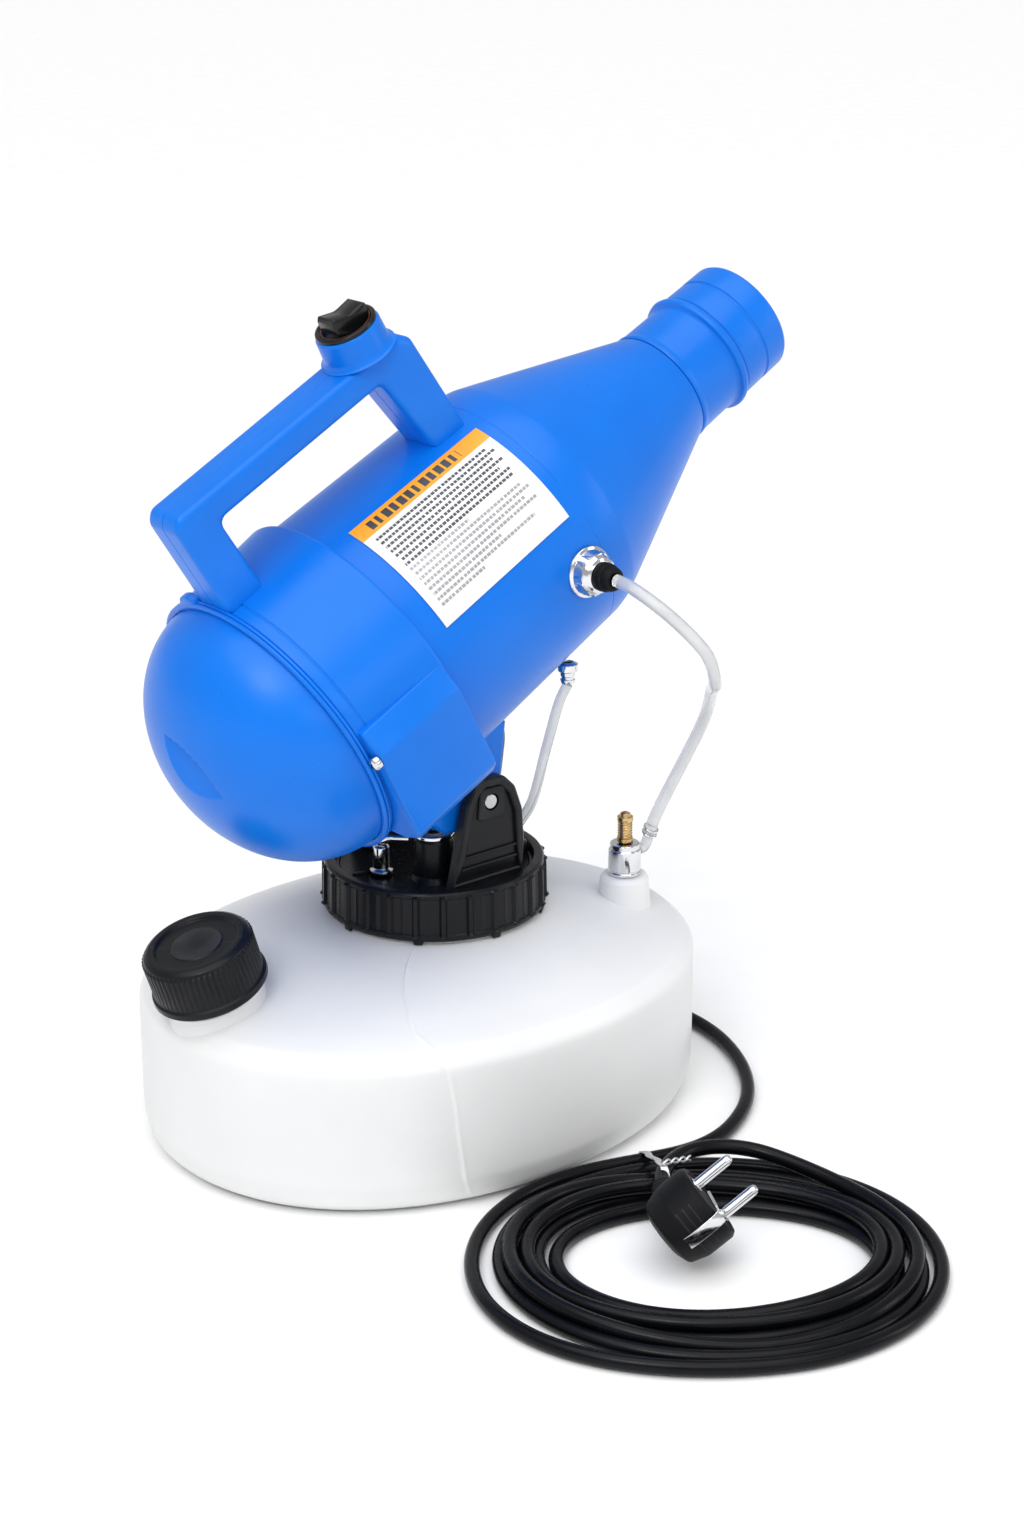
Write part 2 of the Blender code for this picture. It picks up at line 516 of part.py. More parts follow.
# ---------------------------------------------------------------- mains cord
lathe("cord_gland", GLAND, [(60, 5.9), (69.2, 5.9), (69.2, 8.0), (71.5, 7.6), (84, 4.6)], SOFT_BLACK, 20)
CORD_ROUTE = [
    GLAND.at(85.0), Vector((55.0, 9.0, 176.3)), Vector((57.9, 12.4, 167.2)), Vector((61.0, 18.0, 156.0)), Vector((69.0, 29.0, 141.5)),
    Vector((82.0, 47.0, 126.0)), Vector((97.0, 68.0, 104.0)), Vector((109.0, 85.5, 77.0)), Vector((116.5, 93.5, 53.0)), Vector((121.0, 94.0, 33.0)),
    Vector((126.0, 86.5, 15.0)), Vector((133.6, 70.0, 5.0)), Vector((145.5, 38.0, 3.9)), Vector((152.5, 8.0, 3.9)), Vector((156.5, -24.0, 3.9)),
    Vector((152.5, -50.0, 3.9)), Vector((140.5, -78.0, 3.9)), Vector((121.5, -104.0, 3.9)), Vector((101.0, -122.0, 3.9)),
    Vector((84.0, -131.5, 4.0)), Vector((72.0, -136.8, 4.2)), Vector((62.6, -141.3, 4.4)),
]
route = smooth_route(CORD_ROUTE, 14)
cable("cord_lead", route, CORD_D, CORD_BLACK, 2)


def coil_ring(z, half, grow=0.0, count=36):
    turn = math.radians(COIL_TURN)
    out = []
    for i in range(count):
        angle = 2 * math.pi * i / count
        x, y = (half[0] + grow) * math.cos(angle), (half[1] + grow) * math.sin(angle)
        out.append(Vector((COIL_X + x * math.cos(turn) - y * math.sin(turn), COIL_Y + x * math.sin(turn) + y * math.cos(turn), z)))
    return out


from_rings("cord_coil", [
    coil_ring(0.1, COIL_OUT, -4), coil_ring(4, COIL_OUT), coil_ring(12, COIL_OUT), coil_ring(COIL_H, COIL_OUT, -8),
    coil_ring(COIL_H, COIL_IN, 8), coil_ring(12, COIL_IN), coil_ring(4, COIL_IN), coil_ring(0.1, COIL_IN, 4),
], CORD_BLACK, loop=True)

# plug standing on its rim inside the coil, its lead rising over the turns
PLUG_AXIS = Vector((0.70, -0.36, 0.616))
PLUG_OUT = Vector((0.42, 0.86, -0.15))
PLUG = Frame((-14.0, -204.0, 23.2), PLUG_AXIS, PLUG_OUT)
plug = lathe("plug_body", PLUG, [(-12.5, 11), (-10, 16.5), (-2, 19), (11.5, 19), (13, 17.6)], SOFT_BLACK, 32)
RELIEF = Frame(PLUG.at(-3), PLUG.u, PLUG.a)
boolean(plug, lathe("cut_relief", RELIEF, [(0, 9), (17, 9.0), (40, 5.2), (41, 4.2)], SOFT_BLACK, 20), "UNION")
tail_from, tail_to = RELIEF.at(41.3), RELIEF.at(51.2)
cable("cord_tail", smooth_route([tail_from, (tail_from + tail_to) / 2, tail_to], 5), CORD_D, CORD_BLACK, 2)
for side, sign in (("near", -1), ("far", 1)):
    pin = Frame(PLUG.at(0, 0, sign * 9.5), PLUG.a, PLUG.u)
    lathe("plug_pin_" + side, pin, [(13.3, 2.4), (30.6, 2.4), (32.2, 1.3)], CHROME, 16)
clip = [PLUG.at(a, -r, -3.4) for a, r in ((0, 19.4), (13.4, 19.4), (13.4, 11.5), (14.6, 11.5), (14.6, 20.8), (0, 20.8))]
prism("earth_clip", clip, PLUG.v, 6.8, CHROME)

bpy.context.view_layer.update()
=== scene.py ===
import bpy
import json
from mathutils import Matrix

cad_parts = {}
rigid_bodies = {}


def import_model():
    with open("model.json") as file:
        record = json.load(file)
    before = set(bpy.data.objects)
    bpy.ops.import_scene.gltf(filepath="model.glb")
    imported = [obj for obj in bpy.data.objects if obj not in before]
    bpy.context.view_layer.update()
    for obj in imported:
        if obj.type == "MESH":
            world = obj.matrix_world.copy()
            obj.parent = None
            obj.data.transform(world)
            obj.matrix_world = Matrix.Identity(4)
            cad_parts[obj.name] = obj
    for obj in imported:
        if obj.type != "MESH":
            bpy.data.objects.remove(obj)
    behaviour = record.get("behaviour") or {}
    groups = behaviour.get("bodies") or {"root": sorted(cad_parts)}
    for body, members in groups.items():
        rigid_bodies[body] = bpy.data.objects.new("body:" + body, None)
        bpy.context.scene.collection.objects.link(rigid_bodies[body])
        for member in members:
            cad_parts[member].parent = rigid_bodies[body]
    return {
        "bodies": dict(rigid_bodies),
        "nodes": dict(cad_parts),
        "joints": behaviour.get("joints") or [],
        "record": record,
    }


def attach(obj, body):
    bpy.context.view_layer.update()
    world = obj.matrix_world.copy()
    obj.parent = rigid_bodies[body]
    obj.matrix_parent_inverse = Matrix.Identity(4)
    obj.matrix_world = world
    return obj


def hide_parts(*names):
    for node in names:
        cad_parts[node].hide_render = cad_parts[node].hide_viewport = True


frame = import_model()

"""Looks of the sprayer. Lengths in the constants and in the builders are millimetres in the model's frame:
+Z up, +X towards the nozzle, origin at the centre of the tank's foot. The blower head has its own tilted
frame: s along its axis towards the nozzle, y sideways, h square to both, upwards."""
import json
import math

import bmesh
import bpy
import numpy as np
from mathutils import Matrix, Vector

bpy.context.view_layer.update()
MM = 0.001
collection = bpy.context.scene.collection

# ================================================================ camera
camera_data = bpy.data.cameras.new("camera")
camera = bpy.data.objects.new("camera", camera_data)
collection.objects.link(camera)
camera.location = (-0.7825, -1.0138, 0.6399)
camera.rotation_mode = "QUATERNION"
camera.rotation_quaternion = Vector((0.5986, 0.7233, -0.3443)).to_track_quat("-Z", "Y")
camera_data.sensor_width = 36.0
camera_data.lens = 67.97
camera_data.clip_start, camera_data.clip_end = 0.02, 120.0
camera_data.dof.use_dof = False
bpy.context.scene.camera = camera


# ================================================================ frames
class Frame:
    """An origin with three square unit vectors: a along the axis, u and v across it."""

    def __init__(self, origin, a, u):
        self.o, self.a = Vector(origin), Vector(a).normalized()
        self.u = (Vector(u) - Vector(u).dot(self.a) * self.a).normalized()
        self.v = self.a.cross(self.u)

    def at(self, a, u=0.0, v=0.0):
        return self.o + self.a * a + self.u * u + self.v * v


HEAD_X, HEAD_Z, HEAD_TILT = -15.0, 244.2, 27.95
tilt = math.radians(HEAD_TILT)
HEAD_AXIS = Vector((math.cos(tilt), 0, math.sin(tilt)))
HEAD_UP = Vector((-math.sin(tilt), 0, math.cos(tilt)))
HEAD = Frame((HEAD_X, 0, HEAD_Z), HEAD_AXIS, HEAD_UP)   # u is up, v is -Y
WORLD_UP = Vector((0, 0, 1))


def head(s, y, h):
    return Vector((HEAD_X, y, HEAD_Z)) + HEAD_AXIS * s + HEAD_UP * h


# ================================================================ materials
class Nodes:
    """A material's node tree with short calls. Everything is placed by object coordinates, in metres."""

    def __init__(self, name):
        self.material = bpy.data.materials.new(name)
        self.material.use_nodes = True
        self.tree = self.material.node_tree
        self.shader = self.tree.nodes["Principled BSDF"]
        self.where = self.new("ShaderNodeTexCoord").outputs["Object"]

    def new(self, kind, **settings):
        node = self.tree.nodes.new(kind)
        for key, value in settings.items():
            setattr(node, key, value)
        return node

    def link(self, a, b):
        self.tree.links.new(a, b)

    def set(self, **values):
        for key, value in values.items():
            socket = self.shader.inputs[key.replace("_", " ")]
            socket.default_value = value
        return self

    def noise(self, scale, detail=3.0, rough=0.55, stretch=None):
        node = self.new("ShaderNodeTexNoise")
        node.inputs["Scale"].default_value = scale
        node.inputs["Detail"].default_value = detail
        node.inputs["Roughness"].default_value = rough
        where = self.where
        if stretch:
            mapping = self.new("ShaderNodeMapping")
            mapping.inputs["Scale"].default_value = stretch
            self.link(where, mapping.inputs["Vector"])
            where = mapping.outputs["Vector"]
        self.link(where, node.inputs["Vector"])
        return node.outputs["Fac"]

    def ramp(self, fac, stops, smooth=True):
        node = self.new("ShaderNodeValToRGB")
        ramp = node.color_ramp
        ramp.interpolation = "EASE" if smooth else "LINEAR"
        while len(ramp.elements) < len(stops):
            ramp.elements.new(0.5)
        for element, (at, colour) in zip(ramp.elements, stops):
            element.position = at
            element.color = (*colour, 1.0) if len(colour) == 3 else colour
        self.link(fac, node.inputs["Fac"])
        return node.outputs["Color"]

    def mix(self, fac, a, b, mode="MIX"):
        node = self.new("ShaderNodeMix", data_type="RGBA", blend_type=mode)
        for socket, value in ((node.inputs["Factor"], fac), (node.inputs[6], a), (node.inputs[7], b)):
            if isinstance(value, (float, int)):
                socket.default_value = value
            elif isinstance(value, tuple):
                socket.default_value = (*value, 1.0)
            else:
                self.link(value, socket)
        return node.outputs[2]

    def maths(self, operation, a, b=0.0, clamp=False):
        node = self.new("ShaderNodeMath", operation=operation, use_clamp=clamp)
        for socket, value in zip(node.inputs, (a, b)):
            if isinstance(value, (float, int)):
                socket.default_value = value
            else:
                self.link(value, socket)
        return node.outputs[0]

    def span(self, fac, low, high):
        node = self.new("ShaderNodeMapRange")
        node.inputs["To Min"].default_value = low
        node.inputs["To Max"].default_value = high
        node.inputs["From Min"].default_value = 0.3
        node.inputs["From Max"].default_value = 0.7
        self.link(fac, node.inputs["Value"])
        return node.outputs["Result"]

    def bump(self, heights):
        """heights: (field, strength, distance in metres) laid over each other."""
        normal = None
        for field, strength, distance in heights:
            node = self.new("ShaderNodeBump")
            node.inputs["Strength"].default_value = strength
            node.inputs["Distance"].default_value = distance
            self.link(field, node.inputs["Height"])
            if normal is not None:
                self.link(normal, node.inputs["Normal"])
            normal = node.outputs["Normal"]
        self.link(normal, self.shader.inputs["Normal"])
        return self

    def colour(self, output):
        self.link(output, self.shader.inputs["Base Color"])
        return self

    def rough(self, output):
        self.link(output, self.shader.inputs["Roughness"])
        return self

    def edges(self, low=0.5, high=0.56):
        """Near 1 along worn outer edges, 0 elsewhere."""
        point = self.new("ShaderNodeNewGeometry").outputs["Pointiness"]
        node = self.new("ShaderNodeMapRange")
        node.inputs["From Min"].default_value = low
        node.inputs["From Max"].default_value = high
        self.link(point, node.inputs["Value"])
        return node.outputs["Result"]


def plastic(name, dark, light, worn, rough=(0.3, 0.4), grain=0.10, grain_scale=1900.0, wave=0.05, **values):
    n = Nodes(name)
    base = n.ramp(n.noise(14.0, 4.0), [(0.3, dark), (0.72, light)])
    mottled = n.mix(n.maths("MULTIPLY", n.noise(420.0, 2.0), 0.10), base, light)
    wear = n.maths("MULTIPLY", n.edges(0.53, 0.60), n.span(n.noise(90.0, 5.0), 0.05, 0.55))
    n.colour(n.mix(wear, mottled, worn))
    n.rough(n.span(n.mix(0.5, n.noise(22.0, 5.0), n.noise(520.0, 2.0)), *rough))
    n.bump([(n.noise(9.0, 2.0), wave, 0.002), (n.noise(grain_scale, 2.0, 0.7), grain, 0.00012)])
    n.set(IOR=1.48, **values)
    return n.material


BLUE = plastic("blue_shell", (0.0004, 0.146, 0.655), (0.0008, 0.166, 0.715), (0.01, 0.23, 0.84), rough=(0.27, 0.36), Specular_IOR_Level=0.28)
BLACK = plastic("black_plastic", (0.0055, 0.006, 0.0075), (0.0085, 0.009, 0.011), (0.05, 0.052, 0.056), rough=(0.24, 0.36),
                grain=0.12, grain_scale=1500.0, Specular_IOR_Level=0.20)
BLACK_DEEP = plastic("black_gloss", (0.004, 0.0042, 0.005), (0.007, 0.0072, 0.008), (0.05, 0.05, 0.052), rough=(0.16, 0.26), grain=0.06, Specular_IOR_Level=0.32)
GREY = plastic("grey_plastic", (0.20, 0.205, 0.21), (0.26, 0.265, 0.27), (0.4, 0.4, 0.41), rough=(0.4, 0.55))
RUBBER = plastic("black_rubber", (0.004, 0.0042, 0.0052), (0.008, 0.0083, 0.0095), (0.06, 0.06, 0.065), rough=(0.42, 0.58), grain=0.2,
                 grain_scale=1100.0, Specular_IOR_Level=0.13)


def sheath():
    n = Nodes("cord_black")
    base = n.ramp(n.noise(60.0, 4.0), [(0.3, (0.0012, 0.0014, 0.0026)), (0.75, (0.0028, 0.0031, 0.0048))])
    dust = n.maths("MULTIPLY", n.span(n.noise(28.0, 6.0), 0.0, 1.0), 0.06)
    n.colour(n.mix(dust, base, (0.030, 0.032, 0.036)))
    n.rough(n.span(n.noise(80.0, 4.0), 0.20, 0.32))
    n.bump([(n.noise(45.0, 3.0), 0.12, 0.0008), (n.noise(1500.0, 2.0), 0.10, 0.0001)])
    n.set(IOR=1.5, Specular_IOR_Level=0.16)
    return n.material


CORD_BLACK = sheath()


def hdpe():
    n = Nodes("tank_hdpe")
    base = n.ramp(n.noise(10.0, 4.0), [(0.3, (0.730, 0.735, 0.738)), (0.7, (0.775, 0.778, 0.780))])
    speck = n.maths("MULTIPLY", n.noise(500.0, 2.0), 0.08)
    n.colour(n.mix(speck, base, (0.86, 0.865, 0.87)))
    n.rough(n.span(n.noise(30.0, 5.0), 0.34, 0.47))
    n.bump([(n.noise(13.0, 3.0), 0.10, 0.003), (n.noise(1300.0, 3.0), 0.10, 0.00012)])
    n.set(IOR=1.5, Subsurface_Weight=0.35, Subsurface_Scale=0.012)
    n.shader.inputs["Subsurface Radius"].default_value = (1.0, 1.0, 1.0)
    return n.material


WHITE = hdpe()


def metal(name, dark, light, rough, brushed=None, tarnish=None):
    n = Nodes(name)
    field = n.noise(60.0, 5.0) if brushed is None else n.noise(60.0, 3.0, stretch=brushed)
    base = n.ramp(field, [(0.25, dark), (0.75, light)])
    if tarnish:
        base = n.mix(n.maths("MULTIPLY", n.span(n.noise(260.0, 5.0), 0.0, 1.0), 0.5), base, tarnish)
    n.colour(base)
    n.rough(n.span(n.noise(240.0, 4.0), *rough))
    n.bump([(n.noise(900.0, 3.0, stretch=brushed), 0.06, 0.0001)])
    n.set(Metallic=1.0)
    return n.material


CHROME = metal("chrome", (0.62, 0.63, 0.65), (0.80, 0.80, 0.81), (0.06, 0.16))
STEEL = metal("steel", (0.42, 0.43, 0.44), (0.60, 0.60, 0.61), (0.25, 0.40), brushed=(1.0, 14.0, 1.0))
BRASS = metal("brass", (0.55, 0.36, 0.15), (0.78, 0.56, 0.28), (0.18, 0.32), tarnish=(0.38, 0.25, 0.10))
COPPER = metal("copper", (0.60, 0.25, 0.12), (0.80, 0.40, 0.24), (0.2, 0.35))


def clear():
    n = Nodes("clear_pvc")
    n.colour(n.ramp(n.noise(40.0, 3.0), [(0.3, (0.76, 0.775, 0.785)), (0.7, (0.86, 0.87, 0.88))]))
    n.rough(n.span(n.noise(70.0, 3.0), 0.06, 0.16))
    n.bump([(n.noise(60.0, 3.0), 0.10, 0.0008)])
    n.set(IOR=1.42, Transmission_Weight=0.62, Specular_IOR_Level=0.6)
    return n.material


CLEAR = clear()


def paper(name, dark, light, rough=(0.3, 0.42)):
    n = Nodes(name)
    n.colour(n.ramp(n.noise(35.0, 4.0), [(0.3, dark), (0.7, light)]))
    n.rough(n.span(n.noise(60.0, 3.0), *rough))
    n.bump([(n.noise(700.0, 2.0), 0.04, 0.0001)])
    return n.material


PAPER = paper("label_film", (0.76, 0.765, 0.77), (0.83, 0.835, 0.84))
PAPER_BAND = paper("label_band", (0.90, 0.33, 0.004), (0.95, 0.38, 0.006))
PAPER_RULE = paper("label_rule", (0.035, 0.035, 0.04), (0.07, 0.07, 0.075))
PAPER_RULE_PALE = paper("label_rule_pale", (0.30, 0.30, 0.31), (0.40, 0.40, 0.41))
TIE = metal("tie_silver", (0.60, 0.60, 0.60), (0.82, 0.82, 0.82), (0.2, 0.4))
AMBER = plastic("rocker_rim", (0.05, 0.012, 0.006), (0.09, 0.022, 0.010), (0.2, 0.06, 0.03), rough=(0.2, 0.3))


# ================================================================ mesh builders
def finish(name, bm, mats, angle=32, bevel=0.0, segments=3, bevel_angle=40):
    """bm in millimetres becomes an object in metres, at the origin, smooth apart from its sharp edges."""
    bmesh.ops.remove_doubles(bm, verts=bm.verts, dist=1e-4)
    bmesh.ops.recalc_face_normals(bm, faces=bm.faces)
    mesh = bpy.data.meshes.new(name)
    for vert in bm.verts:
        vert.co = vert.co * MM
    bm.to_mesh(mesh)
    bm.free()
    for mat in mats if isinstance(mats, (list, tuple)) else [mats]:
        mesh.materials.append(mat)
    mesh.shade_smooth()
    made = bpy.data.objects.new(name, mesh)
    collection.objects.link(made)
    if bevel:
        modifier = made.modifiers.new("bevel", "BEVEL")
        modifier.width = bevel * MM
        modifier.segments = segments
        modifier.limit_method = "ANGLE"
        modifier.angle_limit = math.radians(bevel_angle)
        modifier.use_clamp_overlap = True
        modifier.harden_normals = False
        bake(made)
    made.data.set_sharp_from_angle(angle=math.radians(angle))
    return made


def bake(made):
    """Applies an object's modifiers to its mesh."""
    bpy.context.view_layer.update()
    graph = bpy.context.evaluated_depsgraph_get()
    mesh = bpy.data.meshes.new_from_object(made.evaluated_get(graph))
    made.modifiers.clear()
    old, made.data = made.data, mesh
    mesh.name = made.name
    bpy.data.meshes.remove(old)
    return made


def boolean(target, tool, operation="DIFFERENCE", angle=32):
    modifier = target.modifiers.new("cut", "BOOLEAN")
    modifier.operation, modifier.solver, modifier.object = operation, "EXACT", tool
    bake(target)
    bpy.data.objects.remove(tool, do_unlink=True)
    target.data.shade_smooth()
    target.data.set_sharp_from_angle(angle=math.radians(angle))
    return target


def join(name, pieces, angle=32):
    """One object of several meshes; their materials stay."""
    mats, bm = [], bmesh.new()
    for made in pieces:
        start = len(bm.faces)
        bm.from_mesh(made.data)
        bm.faces.ensure_lookup_table()
        slots = []
        for mat in made.data.materials:
            if mat not in mats:
                mats.append(mat)
            slots.append(mats.index(mat))
        for face in bm.faces[start:]:
            face.material_index = slots[face.material_index]
    mesh = bpy.data.meshes.new(name)
    bm.to_mesh(mesh)
    bm.free()
    for mat in mats:
        mesh.materials.append(mat)
    mesh.shade_smooth()
    mesh.set_sharp_from_angle(angle=math.radians(angle))
    for made in pieces:
        bpy.data.objects.remove(made, do_unlink=True)
    made = bpy.data.objects.new(name, mesh)
    collection.objects.link(made)
    return made


def rings_mesh(rings, loop=False, caps=True):
    bm = bmesh.new()
    made = [[bm.verts.new(p) for p in ring] for ring in rings]
    pairs = list(zip(made, made[1:])) + ([(made[-1], made[0])] if loop else [])
    for low, high in pairs:
        count = max(len(low), len(high))
        for i in range(count):
            j = (i + 1) % count
            if len(low) == 1:
                bm.faces.new((low[0], high[i], high[j]))
            elif len(high) == 1:
                bm.faces.new((low[i], low[j], high[0]))
            else:
                bm.faces.new((low[i], low[j], high[j], high[i]))
    if not loop and caps:
        for end in (made[0], made[-1]):
            if len(end) > 1:
                bm.faces.new(end)
    return bm


def from_rings(name, rings, mats, loop=False, **more):
    return finish(name, rings_mesh(rings, loop), mats, **more)


def circle(frame, a, r, count, turn=0.0):
    if r <= 1e-6:
        return [frame.at(a)]
    return [frame.at(a, r * math.cos(turn + 2 * math.pi * i / count), r * math.sin(turn + 2 * math.pi * i / count))
            for i in range(count)]


def soft(points, radius=1.0, closed=False, steps=4):
    """A 2-D outline with its corners rounded. A point may carry its own radius as a third number."""
    out, n = [], len(points)
    for i, p in enumerate(points):
        r = p[2] if len(p) > 2 else radius
        here = Vector(p[:2])
        if (not closed and i in (0, n - 1)) or r <= 0:
            out.append(tuple(here))
            continue
        before, after = Vector(points[i - 1][:2]) - here, Vector(points[(i + 1) % n][:2]) - here
        la, lb = before.length, after.length
        if la < 1e-6 or lb < 1e-6:
            continue
        bend = math.pi - before.angle(after)
        if bend < 0.06:
            out.append(tuple(here))
            continue
        reach = min(r * math.tan(bend / 2), 0.48 * la, 0.48 * lb)
        a, b = here + before / la * reach, here + after / lb * reach
        for k in range(steps + 1):
            t = k / steps
            out.append(tuple(a * (1 - t) ** 2 + here * (2 * t * (1 - t)) + b * t * t))
    return out


def lathe(name, frame, profile, mats, count=96, loop=False, radius=0.6, turn=0.0, shape=None, **more):
    """Turns (station, radius) points about the frame's axis, with the profile's corners rounded."""
    line = soft(profile, radius, closed=loop)
    rings = [circle(frame, a, r, count, turn) for a, r in line]
    if shape:
        rings = [[shape(p) for p in ring] for ring in rings]
    return from_rings(name, rings, mats, loop, **more)


def prism(name, points, direction, length, mats, **more):
    step = Vector(direction).normalized() * length
    return from_rings(name, [points, [p + step for p in points]], mats, **more)


def spread(values):
    """Points between pairs of a profile, so that long spans hold enough rings for a shape to act on."""
    out = []
    for (a0, r0), (a1, r1), n in values:
        out += [(a0 + (a1 - a0) * i / n, r0 + (r1 - r0) * i / n) for i in range(n)]
    return out


def smooth_route(points, step):
    """Points spaced by step along a centripetal Catmull-Rom curve through the given ones."""
    pts = [Vector(p) for p in points]
    pts = [2 * pts[0] - pts[1]] + pts + [2 * pts[-1] - pts[-2]]
    dense = []
    for p0, p1, p2, p3 in zip(pts, pts[1:], pts[2:], pts[3:]):
        t0 = 0.0
        t1 = t0 + (p1 - p0).length ** 0.5
        t2 = t1 + (p2 - p1).length ** 0.5
        t3 = t2 + (p3 - p2).length ** 0.5
        for i in range(24):
            t = t1 + (t2 - t1) * i / 24
            a1 = p0 * ((t1 - t) / (t1 - t0)) + p1 * ((t - t0) / (t1 - t0))
            a2 = p1 * ((t2 - t) / (t2 - t1)) + p2 * ((t - t1) / (t2 - t1))
            a3 = p2 * ((t3 - t) / (t3 - t2)) + p3 * ((t - t2) / (t3 - t2))
            b1 = a1 * ((t2 - t) / (t2 - t0)) + a2 * ((t - t0) / (t2 - t0))
            b2 = a2 * ((t3 - t) / (t3 - t1)) + a3 * ((t - t1) / (t3 - t1))
            dense.append(b1 * ((t2 - t) / (t2 - t1)) + b2 * ((t - t1) / (t2 - t1)))
    dense.append(pts[-2])
    return even(dense, step)


def even(dense, step):
    total = sum((b - a).length for a, b in zip(dense, dense[1:]))
    count = max(2, round(total / step))
    out, walked, target = [dense[0]], 0.0, total / count
    for a, b in zip(dense, dense[1:]):
        length = (b - a).length
        while walked + length >= target * len(out) - 1e-9 and len(out) < count:
            out.append(a.lerp(b, (target * len(out) - walked) / length))
        walked += length
    return out + [dense[-1]]


def cable(name, points, diameter, mat, sides=4):
    data = bpy.data.curves.new(name, "CURVE")
    data.dimensions = "3D"
    spline = data.splines.new("POLY")
    spline.points.add(len(points) - 1)
    for point, at in zip(spline.points, points):
        point.co = (*(at * MM), 1.0)
    spline.use_smooth = True
    data.bevel_depth = diameter / 2 * MM
    data.bevel_resolution = sides
    data.use_fill_caps = True
    data.materials.append(mat)
    made = bpy.data.objects.new(name, data)
    collection.objects.link(made)
    return made


def stand_for(made, body, slot, *nodes):
    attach(made, body)
    if nodes:
        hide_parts(*nodes)
    return made


# ================================================================ cords first: mains cord and hoses
HOSE_D, AIR_HOSE_D, CORD_D = 6.0, 5.0, 7.0
INLET = Frame(head(68.0, 0, -4.0), (0, -1, 0), WORLD_UP)
GLAND = Frame(head(30, 8, 0), -HEAD_UP, (0, 1, 0))
PLUG_AXIS = Vector((0.70, -0.36, 0.616))
PLUG_OUT = Vector((0.42, 0.86, -0.15))
PLUG = Frame((-14.0, -204.0, 23.2), PLUG_AXIS, PLUG_OUT)
RELIEF = Frame(PLUG.at(-3), PLUG.u, PLUG.a)
COIL_X, COIL_Y, COIL_TURN = -5.0, -212.0, math.radians(-39.6)

LEAD = [
    GLAND.at(85.0), Vector((55.0, 9.0, 176.3)), Vector((57.9, 12.4, 167.2)), Vector((61.0, 18.0, 156.0)), Vector((69.0, 29.0, 141.5)),
    Vector((82.0, 47.0, 126.0)), Vector((97.0, 68.0, 104.0)), Vector((109.0, 85.5, 77.0)), Vector((116.5, 93.5, 53.0)),
    Vector((121.0, 94.0, 33.0)), Vector((126.0, 86.5, 15.0)), Vector((133.6, 70.0, 5.0)), Vector((145.5, 38.0, 3.7)),
    Vector((152.5, 8.0, 3.6)), Vector((156.5, -24.0, 3.6)), Vector((152.5, -50.0, 3.6)), Vector((140.5, -78.0, 3.6)),
    Vector((121.5, -104.0, 3.6)), Vector((99.0, -121.5, 3.6)), Vector((75.0, -130.5, 3.6)),
]
TURNS = 7


def coil_point(phase, out, z, dx=0.0, dy=0.0):
    """A point of the coil at a phase. out is 0 at the inner edge of the band and 1 at its outer edge."""
    ax = 74.5 + out * 25.0
    by = 47.5 + out * 46.5
    c, s = math.cos(phase), math.sin(phase)
    x, y = ax * math.copysign(abs(c) ** 0.97, c), by * math.copysign(abs(s) ** 0.97, s)
    c, s = math.cos(COIL_TURN), math.sin(COIL_TURN)
    return Vector((COIL_X + dx + x * c - y * s, COIL_Y + dy + x * s + y * c, z))


def relax(points, fixed, diameter, rounds=420):
    """Pushes strands that lie in each other apart, keeps them on the floor, smooth and near where they started."""
    p = np.array([list(v) for v in points])
    aim = p.copy()
    n, r = len(p), diameter / 2
    index = np.arange(n)
    lengths = np.linalg.norm(p[1:] - p[:-1], axis=1)
    move = np.ones(n)
    move[fixed] = 0.0
    apart = np.abs(index[:, None] - index[None, :]) > max(3, int(2.5 * diameter / lengths.mean()))
    for step in range(rounds):
        late = step > rounds * 0.75
        shift = np.zeros_like(p)
        gap = p[:, None, :] - p[None, :, :]
        dist = np.linalg.norm(gap, axis=2) + 1e-9
        close = (dist < diameter * 1.02) & apart
        if close.any():
            push = np.where(close, (diameter * 1.02 - dist) / dist, 0.0)[:, :, None] * gap
            count = np.maximum(close.sum(axis=1), 1)[:, None]
            shift += (0.6 if late else 0.45) * push.sum(axis=1) / count
        bend = np.zeros_like(p)
        bend[2:-2] = (-p[:-4] + 4 * p[1:-3] + 4 * p[3:-1] - p[4:]) / 6 - p[2:-2]
        wide = np.zeros_like(p)
        wide[6:-6] = (-p[:-12] + 4 * p[3:-9] + 4 * p[9:-3] - p[12:]) / 6 - p[6:-6]
        shift += 0.40 * bend + 0.25 * wide
        shift[:, :2] += 0.02 * (aim - p)[:, :2]
        shift[:, 2] -= 0.05 if not late else 0.01
        p += shift * move[:, None]
        p[:, 2] = np.where(move > 0, np.maximum(p[:, 2], r + 0.15), p[:, 2])
        for _ in range(2):
            span = p[1:] - p[:-1]
            long = np.linalg.norm(span, axis=1)
            fix = (0.5 * (long - lengths) / long)[:, None] * span * 0.3
            p[:-1] += fix * move[:-1, None]
            p[1:] -= fix * move[1:, None]
    return [Vector(v) for v in p]


lead = smooth_route(LEAD, 4.0)
for _ in range(3):                               # eases the tightest places of the lead; its ends stay put
    lead = [(lead[i - 3] + lead[i + 3] + lead[i] * 2) / 4 if 4 <= i < len(lead) - 4 else lead[i] for i in range(len(lead))]
